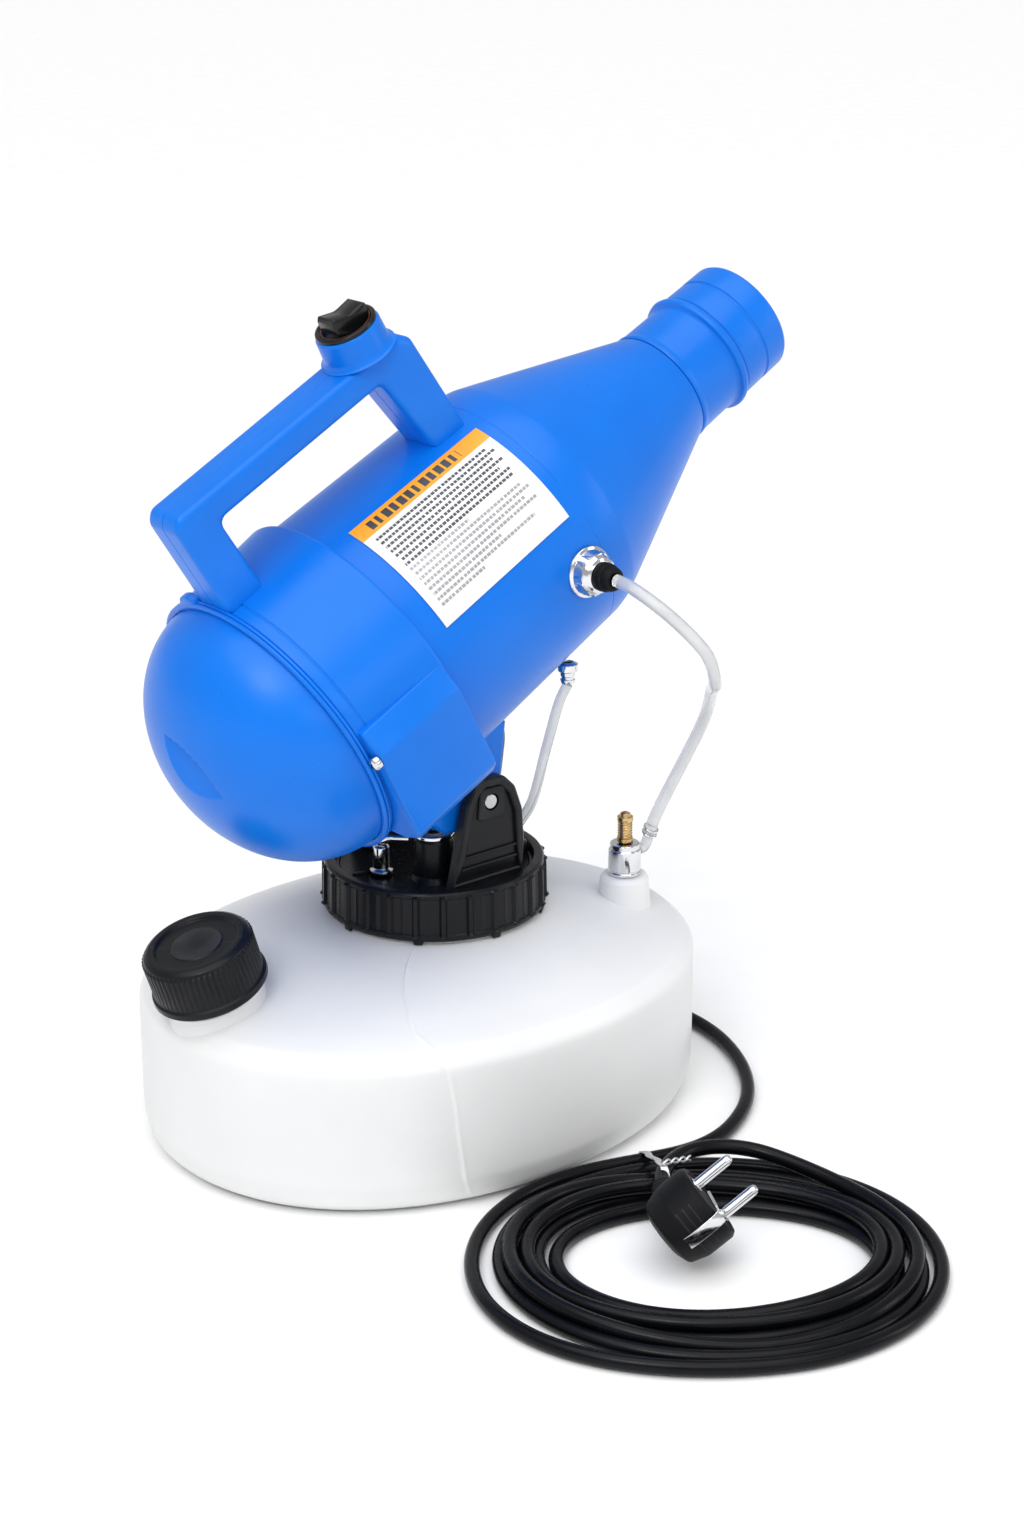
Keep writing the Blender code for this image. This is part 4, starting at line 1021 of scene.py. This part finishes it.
BLOCK = [(70.6, 16.5, 1), (77, 5, 3), (77, -40, 5), (72, -46, 5), (60, -50, 4), (-60, -50, 4), (-72, -46, 5), (-77, -40, 5), (-77, 5, 3), (-70.6, 16.5, 1)]
jacket_line = soft([(-71.9, 66.6, 0), (-71.9, 69.0, 0.9), (-66.6, 69.55, 0.2), (-66.2, 69.2, 0.15), (-65.6, 69.2, 0.15), (-65.2, 69.75, 0.2), (-48, jacket_r(-48), 6),
                    (-34, jacket_r(-34), 6), (-22.4, 72.5, 0.5), (-21.2, 72.2, 0.8), (-20.8, 70.8, 0.7), (-20.8, 68.9, 0), (-31.8, 68.9, 0), (-31.8, 66.6, 0)],
                   0.5, closed=True, steps=4)
jacket = from_rings("jacket_body", [circle(HEAD, a, r, 160) for a, r in jacket_line], BLUE, loop=True, angle=30)


def block_ring(s, inset):
    pts = soft([(y - math.copysign(inset, y) if abs(y) > 65 else y, h - (inset if h > 0 else -inset if h < -45 else 0), r) for y, h, r in BLOCK], 3, closed=True, steps=5)
    return [head(s, y, h) for y, h in pts]


block = from_rings("block", [block_ring(*v) for v in ((-71.3, 1.6), (-70.7, 0.5), (-69.6, 0.0), (-23.6, 0.0), (-22.2, 0.45), (-21.6, 1.6))], BLUE, angle=30)
boolean(block, lathe("core", HEAD, [(-90, 66.5), (-31.8, 66.5), (-31.8, 68.8), (0, 68.8)], BLUE, 160, radius=0), "DIFFERENCE", 30)
boolean(jacket, block, "UNION", 28)
stand_for(jacket, "base", "blue_shell", "jacket_shell")

cone_line = soft([(-31.0, 65.7, 0), (-31.0, 68.3, 0.5), (0, barrel_r(0), 0), (40, barrel_r(40), 0), (79.0, barrel_r(79.0), 0.3), (79.5, barrel_r(79.5) - 0.22, 0.2),
                  (80.0, barrel_r(80), 0.3), (88, barrel_r(88), 0), (95.0, 63.6, 16), (104, 60.2, 14), (120, 54.1, 0), (150, 42.5, 0), (181.5, 30.3, 1.2), (183.9, 29.35, 0.5),
                  (183.9, 26.8, 0), (150, 39.6, 0), (104, 57.4, 8), (91, 62.0, 8), (60, 62.9, 0)], 1.0, closed=True, steps=7)
front = from_rings("barrel_and_cone", [circle(HEAD, a, r, 192) for a, r in cone_line], BLUE, loop=True, angle=26)
stand_for(front, "base", "blue_shell", "front_shell")

sleeve_line = soft([(184.2, 29.5, 0.35), (185.4, 29.9, 0.4), (188, 29.3, 0.5), (209.6, 28.9, 0.8), (210.6, 29.6, 0.5), (211.4, 31.2, 0.6), (213.0, 31.7, 0.9), (214.7, 31.2, 0.6),
                    (215.4, 29.9, 0.3), (216.0, 29.8, 0.15), (216.0, 26.9, 0.1), (184.2, 26.8, 0.1)], 0.3, closed=True, steps=4)
stand_for(from_rings("nozzle_sleeve_ring", [circle(HEAD, a, r, 160) for a, r in sleeve_line], BLUE, loop=True, angle=30), "base", "blue_shell", "nozzle_sleeve")
tip_line = soft([(216.3, 29.5, 0.2), (217.0, 29.9, 0.3), (229.4, 29.6, 0.3), (230.0, 28.9, 0.2), (231.2, 28.9, 0.2), (231.8, 29.6, 0.4), (243.4, 29.4, 0.9), (244.9, 28.5, 0.5),
                 (244.9, 27.3, 0.4), (243.6, 26.9, 0.4), (216.3, 27.0, 0.2)], 0.3, closed=True, steps=5)
stand_for(from_rings("nozzle_tip_ring", [circle(HEAD, a, r, 160) for a, r in tip_line], BLUE, loop=True, angle=30), "base", "blue_shell", "nozzle_tip")

# ---------------------------------------------------------------- saddle between head and fork
SADDLE = [(-27, 168, 0), (-22.5, 160, 3), (-9, 148.2, 3), (5, 147.2, 4), (17, 155, 6), (24.5, 168, 8), (27.5, 196, 0), (-20, 196, 0)]


def saddle_ring(y, inset):
    pts = soft([(x + (inset if x < 5 else -inset) * 0.8, z + inset * (1.0 if z < 170 else 0.0), r) for x, z, r in SADDLE], 3, closed=True, steps=5)
    return flat_ring(pts, y)


saddle = from_rings("saddle_block", [saddle_ring(*v) for v in ((-31.4, 2.0), (-30.8, 0.8), (-29.6, 0.0), (29.6, 0.0), (30.8, 0.8), (31.4, 2.0))], BLUE, angle=30)
boolean(saddle, lathe("saddle_cut", HEAD, [(-90, 70.2), (-62, 71.0), (-34, 72.8), (-20.4, 72.8), (-20.4, 68.6), (60, 68.6)], BLUE, 128, radius=0), "DIFFERENCE", 28)
boolean(saddle, lathe("saddle_bolt", BOLT, [(-60, 4.25), (60, 4.25)], BLUE, 40, radius=0), "DIFFERENCE", 28)
stand_for(saddle, "base", "blue_shell", "body_saddle")

# ================================================================ carrying handle
HANDLE_W = 12.0


def outer_r(s):
    return jacket_r(s) if s < JACKET_S1 else barrel_r(s)


def handle_ring(y, i):
    def foot(s, extra=0.0):
        return (s, math.sqrt((outer_r(s) + 0.15) ** 2 - y * y))
    i_leg = i * 0.9
    pts = [foot(-72.6 + i_leg) + (0,), (-76.2 + i_leg, 116.0, 6), (-72.6 + i_leg, 121.0 - i, 5), (62.0 - i, 121.0 - i, 5), (67.0 - i, 116.0 - i, 5), foot(73.4 - i_leg) + (0,),
           foot(53.2 + i_leg) + (0,), (43.5 + i, 107.0 + i, 5), (-55.5 - i, 107.0 + i, 5), foot(-52.0 - i_leg) + (0,)]
    pts = soft(pts, 4, closed=True, steps=6)
    return [head(s, y, h) for s, h in pts]


for side, sign in (("near", -1), ("far", 1)):
    layers = [(0.12, 0.35), (0.42, 0.0), (8.8, 0.0)]
    layers += [(8.8 + 3.2 * math.sin(a), 3.2 * (1 - math.cos(a))) for a in (math.radians(d) for d in (15, 30, 45, 60, 75, 90))]
    half = from_rings("handle_" + side, [handle_ring(sign * y, i) for y, i in layers], BLUE, angle=30)
    stand_for(half, "base", "blue_shell", "handle_half_" + side)

# ---------------------------------------------------------------- switch
BOSS_S = 46.0
SWITCH = Frame(head(BOSS_S, 0, 0), HEAD_UP, HEAD_AXIS)
boss_line = soft([(121.3, 12.8, 0), (121.3, 17.8, 0), (122.0, 16.8, 0.8), (123.8, 15.6, 1.6), (133.6, 15.2, 0.6), (134.9, 14.5, 0.8), (134.9, 12.8, 0.2)], 0.4, closed=True, steps=4)
stand_for(from_rings("switch_collar", [circle(SWITCH, a, r, 96) for a, r in boss_line], BLUE, loop=True, angle=30), "base", "blue_shell", "switch_boss")
bezel_line = soft([(135.2, 11.7, 0.2), (135.2, 14.6, 0.4), (136.6, 14.3, 0.7), (137.0, 12.9, 0.4), (136.4, 12.3, 0.3), (135.8, 11.7, 0.2)], 0.3, closed=True, steps=4)
bezel = from_rings("switch_frame", [circle(SWITCH, a, r, 80) for a, r in bezel_line], BLACK_DEEP, loop=True, angle=40)
rim_line = soft([(135.35, 10.9, 0.1), (135.35, 11.6, 0.1), (136.3, 11.9, 0.2), (136.3, 11.3, 0.1)], 0.1, closed=True, steps=2)
rim = from_rings("switch_rim", [circle(SWITCH, a, r, 80) for a, r in rim_line], AMBER, loop=True, angle=40)
stand_for(join("switch_bezel_ring", [bezel, rim], 40), "base", "black_plastic", "switch_bezel")
ROCKER_PIVOT = 134.5
rock = math.radians(-8.0)
ROCKER = [(-9.4, 1.2, 0.6), (0, -1.6, 4), (9.4, 1.2, 0.6), (9.9, 6.6, 1.0), (8.9, 8.7, 1.0), (0, 6.7, 9), (-8.9, 8.7, 1.0), (-9.9, 6.6, 1.0)]


def rocker_ring(y, inset):
    out = []
    for x, z in soft([(x * (1 - inset / 14), z - (inset if z > 3 else -inset * 0.3), r) for x, z, r in ROCKER], 1, closed=True, steps=5):
        out.append(head(BOSS_S + x * math.cos(rock) - z * math.sin(rock), y, ROCKER_PIVOT + x * math.sin(rock) + z * math.cos(rock)))
    return out


rocker = from_rings("rocker_key", [rocker_ring(*v) for v in ((-6.3, 1.2), (-6.1, 0.5), (-5.5, 0.0), (5.5, 0.0), (6.1, 0.5), (6.3, 1.2))], BLACK_DEEP, angle=40)
stand_for(rocker, "rocker", "black_plastic", "rocker")

# ================================================================ label
LABEL_A0, LABEL_A1, LABEL_S0, LABEL_S1 = 16.5, 69.5, -8.0, 73.0


def label_row(t, x):
    """Which film shows at t down the label and x along it: 0 paper, 1 band, 2 dark rule, 3 pale rule."""
    if t < 0.145:
        word = 0.10 < x < 0.80 and 0.035 < t < 0.115
        if word:
            block_no = int((x - 0.10) / 0.058)
            inside = ((x - 0.10) / 0.058) % 1.0
            return 2 if inside < (0.72, 0.5, 0.8, 0.62, 0.76)[block_no % 5] else 1
        return 1
    row = (t - 0.19) / 0.047
    number = int(math.floor(row))
    if row < 0 or number > 14 or row % 1.0 > 0.42 or x < 0.06:
        return 0
    ends = (0.92, 0.95, 0.90, 0.94, 0.88, 0.93, 0.91, 0.52, 0.90, 0.94, 0.86, 0.92, 0.60, 0.84, 0.40)[number]
    if x > ends:
        return 0
    word = (x * 37.0 + number * 2.7) % 1.0
    if word > 0.80:
        return 0
    return 2 if number < 7 else 3


def label_mesh():
    rows, cols = 170, 200
    bm = bmesh.new()
    grids = []
    for lift in (0.28, 0.62):
        grid = []
        for i in range(rows + 1):
            t = i / rows
            angle = math.radians(LABEL_A0 + (LABEL_A1 - LABEL_A0) * t)
            line = []
            for j in range(cols + 1):
                s = LABEL_S0 + (LABEL_S1 - LABEL_S0) * j / cols
                r = barrel_r(s) + lift
                line.append(bm.verts.new(head(s, -r * math.sin(angle), r * math.cos(angle))))
            grid.append(line)
        grids.append(grid)
    low, high = grids
    for i in range(rows):
        for j in range(cols):
            face = bm.faces.new((high[i][j], high[i + 1][j], high[i + 1][j + 1], high[i][j + 1]))
            face.material_index = label_row((i + 0.5) / rows, (j + 0.5) / cols)
            bm.faces.new((low[i][j], low[i][j + 1], low[i + 1][j + 1], low[i + 1][j]))
    for i in range(rows):
        bm.faces.new((low[i][0], low[i + 1][0], high[i + 1][0], high[i][0]))
        bm.faces.new((low[i][cols], high[i][cols], high[i + 1][cols], low[i + 1][cols]))
    for j in range(cols):
        bm.faces.new((low[0][j], high[0][j], high[0][j + 1], low[0][j + 1]))
        bm.faces.new((low[rows][j], low[rows][j + 1], high[rows][j + 1], high[rows][j]))
    return bm


label = finish("label_printed", label_mesh(), [PAPER, PAPER_BAND, PAPER_RULE, PAPER_RULE_PALE], angle=40)
stand_for(label, "base", "label_film", "label")

# ================================================================ inlet on the barrel
nut_parts = [lathe("nut_flange", INLET, [(63.0, 3.6), (65.4, 12.2, 0.5), (66.8, 12.0, 0.6), (67.4, 10.6, 0.3), (72.0, 9.6, 0.8), (74.4, 8.2, 0.8), (75.2, 6.8, 0.3), (75.2, 3.6)],
                   CHROME, 72, loop=True)]
for k in range(6):                               # flats of the nut, as low blocks round it
    a0 = k * math.pi / 3 + 0.2
    pts = [INLET.at(67.2, 11.0 * math.cos(a0 + d), 11.0 * math.sin(a0 + d)) for d in (-0.40, 0.40)]
    pts2 = [INLET.at(72.6, 10.2 * math.cos(a0 + d), 10.2 * math.sin(a0 + d)) for d in (0.40, -0.40)]
    centre = INLET.at(70, 5.0 * math.cos(a0), 5.0 * math.sin(a0))
    outward = (INLET.at(70, math.cos(a0), math.sin(a0)) - INLET.at(70)).normalized()
    base_pts = [p - outward * 4 for p in pts + pts2]
    nut_parts.append(from_rings("flat", [base_pts, pts + pts2], CHROME, bevel=0.4))
stand_for(join("inlet_nut_hex", nut_parts), "base", "chrome", "inlet_nut")
stand_for(lathe("inlet_grommet_ribbed", INLET, [(75.5, 3.2), (75.5, 6.6, 0.4), (77.0, 6.8, 0.4), (77.4, 6.0, 0.2), (78.2, 6.0, 0.2), (78.6, 6.7, 0.4), (80.0, 6.4, 0.4), (80.3, 5.6, 0.2),
                                                (81.0, 5.6, 0.2), (81.4, 6.0, 0.3), (83.4, 5.4, 0.6), (84.3, 4.6, 0.4), (84.3, 3.2)], RUBBER, 56, loop=True),
          "base", "black_rubber", "inlet_grommet")
stand_for(lathe("air_fitting_turned", AIR, [(2.0, 2.2), (3.2, 5.0, 0.3), (6.6, 5.0, 0.5), (7.0, 3.7, 0.3), (9.0, 3.7, 0.3), (9.4, 3.2, 0.2), (10.4, 3.2, 0.2), (10.8, 3.7, 0.3),
                                            (12.6, 3.4, 0.4), (12.9, 2.2)], CHROME, 48, loop=True), "base", "chrome", "air_fitting")

# ================================================================ block screw, gland, bolt
screw = Frame(head(-74.6, -73.6, 2.5), HEAD_AXIS, (0, 1, 0))
screw_object = lathe("block_screw_head", screw, [(-0.6, 0.01), (-0.6, 1.6, 0.4), (0.2, 2.8, 0.6), (0.9, 3.3, 0.5), (3.2, 3.4, 0.2), (3.2, 0.01)], CHROME, 40)
for turn in (0.5, 0.5 + math.pi / 2):
    c, s = math.cos(turn), math.sin(turn)
    bar = [screw.at(-1.4, x * c - y * s, x * s + y * c) for x, y in ((-1.9, -0.38), (1.9, -0.38), (1.9, 0.38), (-1.9, 0.38))]
    boolean(screw_object, prism("cross", bar, HEAD_AXIS, 2.0, CHROME), "DIFFERENCE", 30)
stand_for(screw_object, "base", "steel", "block_screw")
gland_profile = [(60, 3.75), (60, 5.9, 0.3), (69.2, 5.9, 0.2), (69.2, 8.4, 0.6), (71.2, 8.2, 0.8)]
for k in range(6):
    z = 72.0 + k * 2.0
    r = 6.8 - k * 0.32
    gland_profile += [(z, r, 0.2), (z + 1.1, r - 0.05, 0.3), (z + 1.3, r - 0.9, 0.15), (z + 1.8, r - 0.95, 0.15)]
gland_profile += [(84.4, 4.9, 0.3), (84.6, 3.75, 0.1)]
stand_for(lathe("cord_gland_ribbed", GLAND, gland_profile, RUBBER, 48, loop=True, radius=0.2), "base", "black_rubber", "cord_gland")
bolt_parts = [lathe("bolt_shank", BOLT, [(-41.0, 0.01), (-41.0, 3.6, 0.4), (-40.4, 4.0, 0.2), (38.0, 4.0, 0.3), (38.8, 3.2, 0.3), (38.8, 0.01)], STEEL, 40)]
stand_for(join("yoke_bolt_turned", bolt_parts), "base", "steel", "yoke_bolt")

# ================================================================ plug
plug_profile = [(-12.6, 0.01), (-12.6, 10.5, 1.6), (-10.6, 16.2, 3.0), (-2.0, 19.0, 4.0), (10.8, 19.2, 1.6), (12.9, 17.8, 0.9), (13.0, 15.8, 0.3), (12.3, 15.4, 0.3), (12.3, 0.01)]


def plug_shape(p):
    """The round body is a little narrower across its grip faces."""
    rel = p - PLUG.o
    v = rel.dot(PLUG.v)
    return p - PLUG.v * v * 0.04


plug_parts = [lathe("plug_shell", PLUG, plug_profile, RUBBER, 96, shape=plug_shape)]
relief_profile = [(0, 9.5), (10, 9.4, 2), (17, 9.0, 1.5)]
for k in range(6):
    z = 18.0 + k * 3.6
    r = 8.7 - k * 0.62
    relief_profile += [(z, r - 1.5, 0.3), (z + 0.7, r - 1.6, 0.3), (z + 1.1, r, 0.4), (z + 2.9, r - 0.25, 0.5), (z + 3.3, r - 1.7, 0.3)]
relief_profile += [(40.0, 4.6, 0.5), (41.0, 4.2, 0.3), (41.0, 0.01)]
plug_parts.append(lathe("relief", RELIEF, [(0, 0.01)] + relief_profile, RUBBER, 64))
for k in range(5):                               # grip ribs on the back of the body
    a = -7.5 + k * 3.4
    ring_line = [PLUG.at(a, (18.7 if a > -3 else 18.0 + 0.4 * (a + 3)) * math.cos(t), (18.2 if a > -3 else 17.5 + 0.4 * (a + 3)) * math.sin(t)) for t in [math.radians(140 + 80 * i / 20) for i in range(21)]]
    rib = cable("grip", ring_line, 1.3, RUBBER, 2)
    mesh = bpy.data.meshes.new_from_object(rib)
    rib_mesh = bpy.data.objects.new("grip_mesh", mesh)
    collection.objects.link(rib_mesh)
    bpy.data.objects.remove(rib, do_unlink=True)
    plug_parts.append(rib_mesh)
plug = stand_for(join("plug_moulded", plug_parts), "base", "black_rubber", "plug_body")
for side, sign in (("near", -1), ("far", 1)):
    pin = Frame(PLUG.at(0, 0, sign * 9.5), PLUG.a, PLUG.u)
    pin_object = lathe("plug_pin_%s_round" % side, pin, [(12.0, 0.01), (12.0, 3.4, 0.2), (13.4, 3.4, 0.3), (13.6, 2.4, 0.2), (29.6, 2.4, 0.8), (31.2, 2.0, 0.8), (32.1, 1.0, 0.5), (32.1, 0.01)],
                       CHROME, 40)
    stand_for(pin_object, "base", "chrome", "plug_pin_" + side)


def strap(name, points, half, thick, mat):
    """A flat strip of metal that follows a line in the plug's a-u plane, with rounded long edges."""
    pts = [Vector(p) for p in points]
    rings = []
    for i, p in enumerate(pts):
        before, after = pts[max(0, i - 1)], pts[min(len(pts) - 1, i + 1)]
        along = (after - before).normalized()
        normal = Vector((-along.y, along.x))
        section = soft([(-half, -thick / 2), (half, -thick / 2), (half, thick / 2), (-half, thick / 2)], thick * 0.4, closed=True, steps=3)
        rings.append([PLUG.at(p.x + normal.x * z, p.y + normal.y * z, x) for x, z in section])
    return from_rings(name, rings, mat, angle=40)


path = [(-4.5, -19.3), (-1.0, -19.9), (6.0, -20.1), (11.5, -20.0), (14.0, -19.0), (14.6, -16.5), (14.5, -12.0)]
clip_parts = [strap("clip_a", [Vector(p) for p in path], 3.0, 1.0, CHROME)]
for sign in (-1, 1):                             # its two spring fingers
    ring = [PLUG.at(14.4 + 0.8 * t, -12.2 + 7.5 * t, sign * (1.4 + 4.2 * t)) for t in [i / 8 for i in range(9)]]
    finger = cable("finger", ring, 1.7, CHROME, 3)
    mesh = bpy.data.meshes.new_from_object(finger)
    finger_mesh = bpy.data.objects.new("finger_mesh", mesh)
    collection.objects.link(finger_mesh)
    bpy.data.objects.remove(finger, do_unlink=True)
    clip_parts.append(finger_mesh)
clip = stand_for(join("earth_clip_sprung", clip_parts), "base", "chrome", "earth_clip")

# ================================================================ floor and light
bm = bmesh.new()
bmesh.ops.create_grid(bm, x_segments=1, y_segments=1, size=30000)
floor = finish("floor", bm, paper("floor_white", (0.93, 0.93, 0.93), (0.95, 0.95, 0.95), (0.55, 0.7)))
floor.location.z = -0.0004
bpy.context.scene.view_settings.view_transform = "Standard"
world = bpy.data.worlds.new("studio")
bpy.context.scene.world = world
world.use_nodes = True
world.node_tree.nodes["Background"].inputs["Color"].default_value = (1.0, 1.0, 1.0, 1.0)
world.node_tree.nodes["Background"].inputs["Strength"].default_value = 0.52


def softbox(name, at, to, size, power):
    data = bpy.data.lights.new(name, "AREA")
    data.shape, data.size, data.size_y, data.energy = "RECTANGLE", size[0], size[1], power
    made = bpy.data.objects.new(name, data)
    collection.objects.link(made)
    made.location = at
    made.rotation_mode = "QUATERNION"
    made.rotation_quaternion = (Vector(to) - Vector(at)).to_track_quat("-Z", "Y")
    return made


sun_data = bpy.data.lights.new("soft_sun", "SUN")
sun_data.energy, sun_data.angle = 1.95, math.radians(70)
sun = bpy.data.objects.new("soft_sun", sun_data)
collection.objects.link(sun)
sun.rotation_mode = "QUATERNION"
sun.rotation_quaternion = Vector((0.30, 0.22, -1.0)).to_track_quat("-Z", "Y")
softbox("key", (-1.5, -0.9, 1.7), (0, 0, 0.2), (0.8, 0.8), 10)
softbox("side", (1.5, -1.5, 0.9), (0.05, -0.05, 0.2), (0.5, 1.2), 5.0)
softbox("fill", (-0.3, -2.4, 1.1), (0.0, 0.0, 0.15), (1.6, 0.5), 5.0)
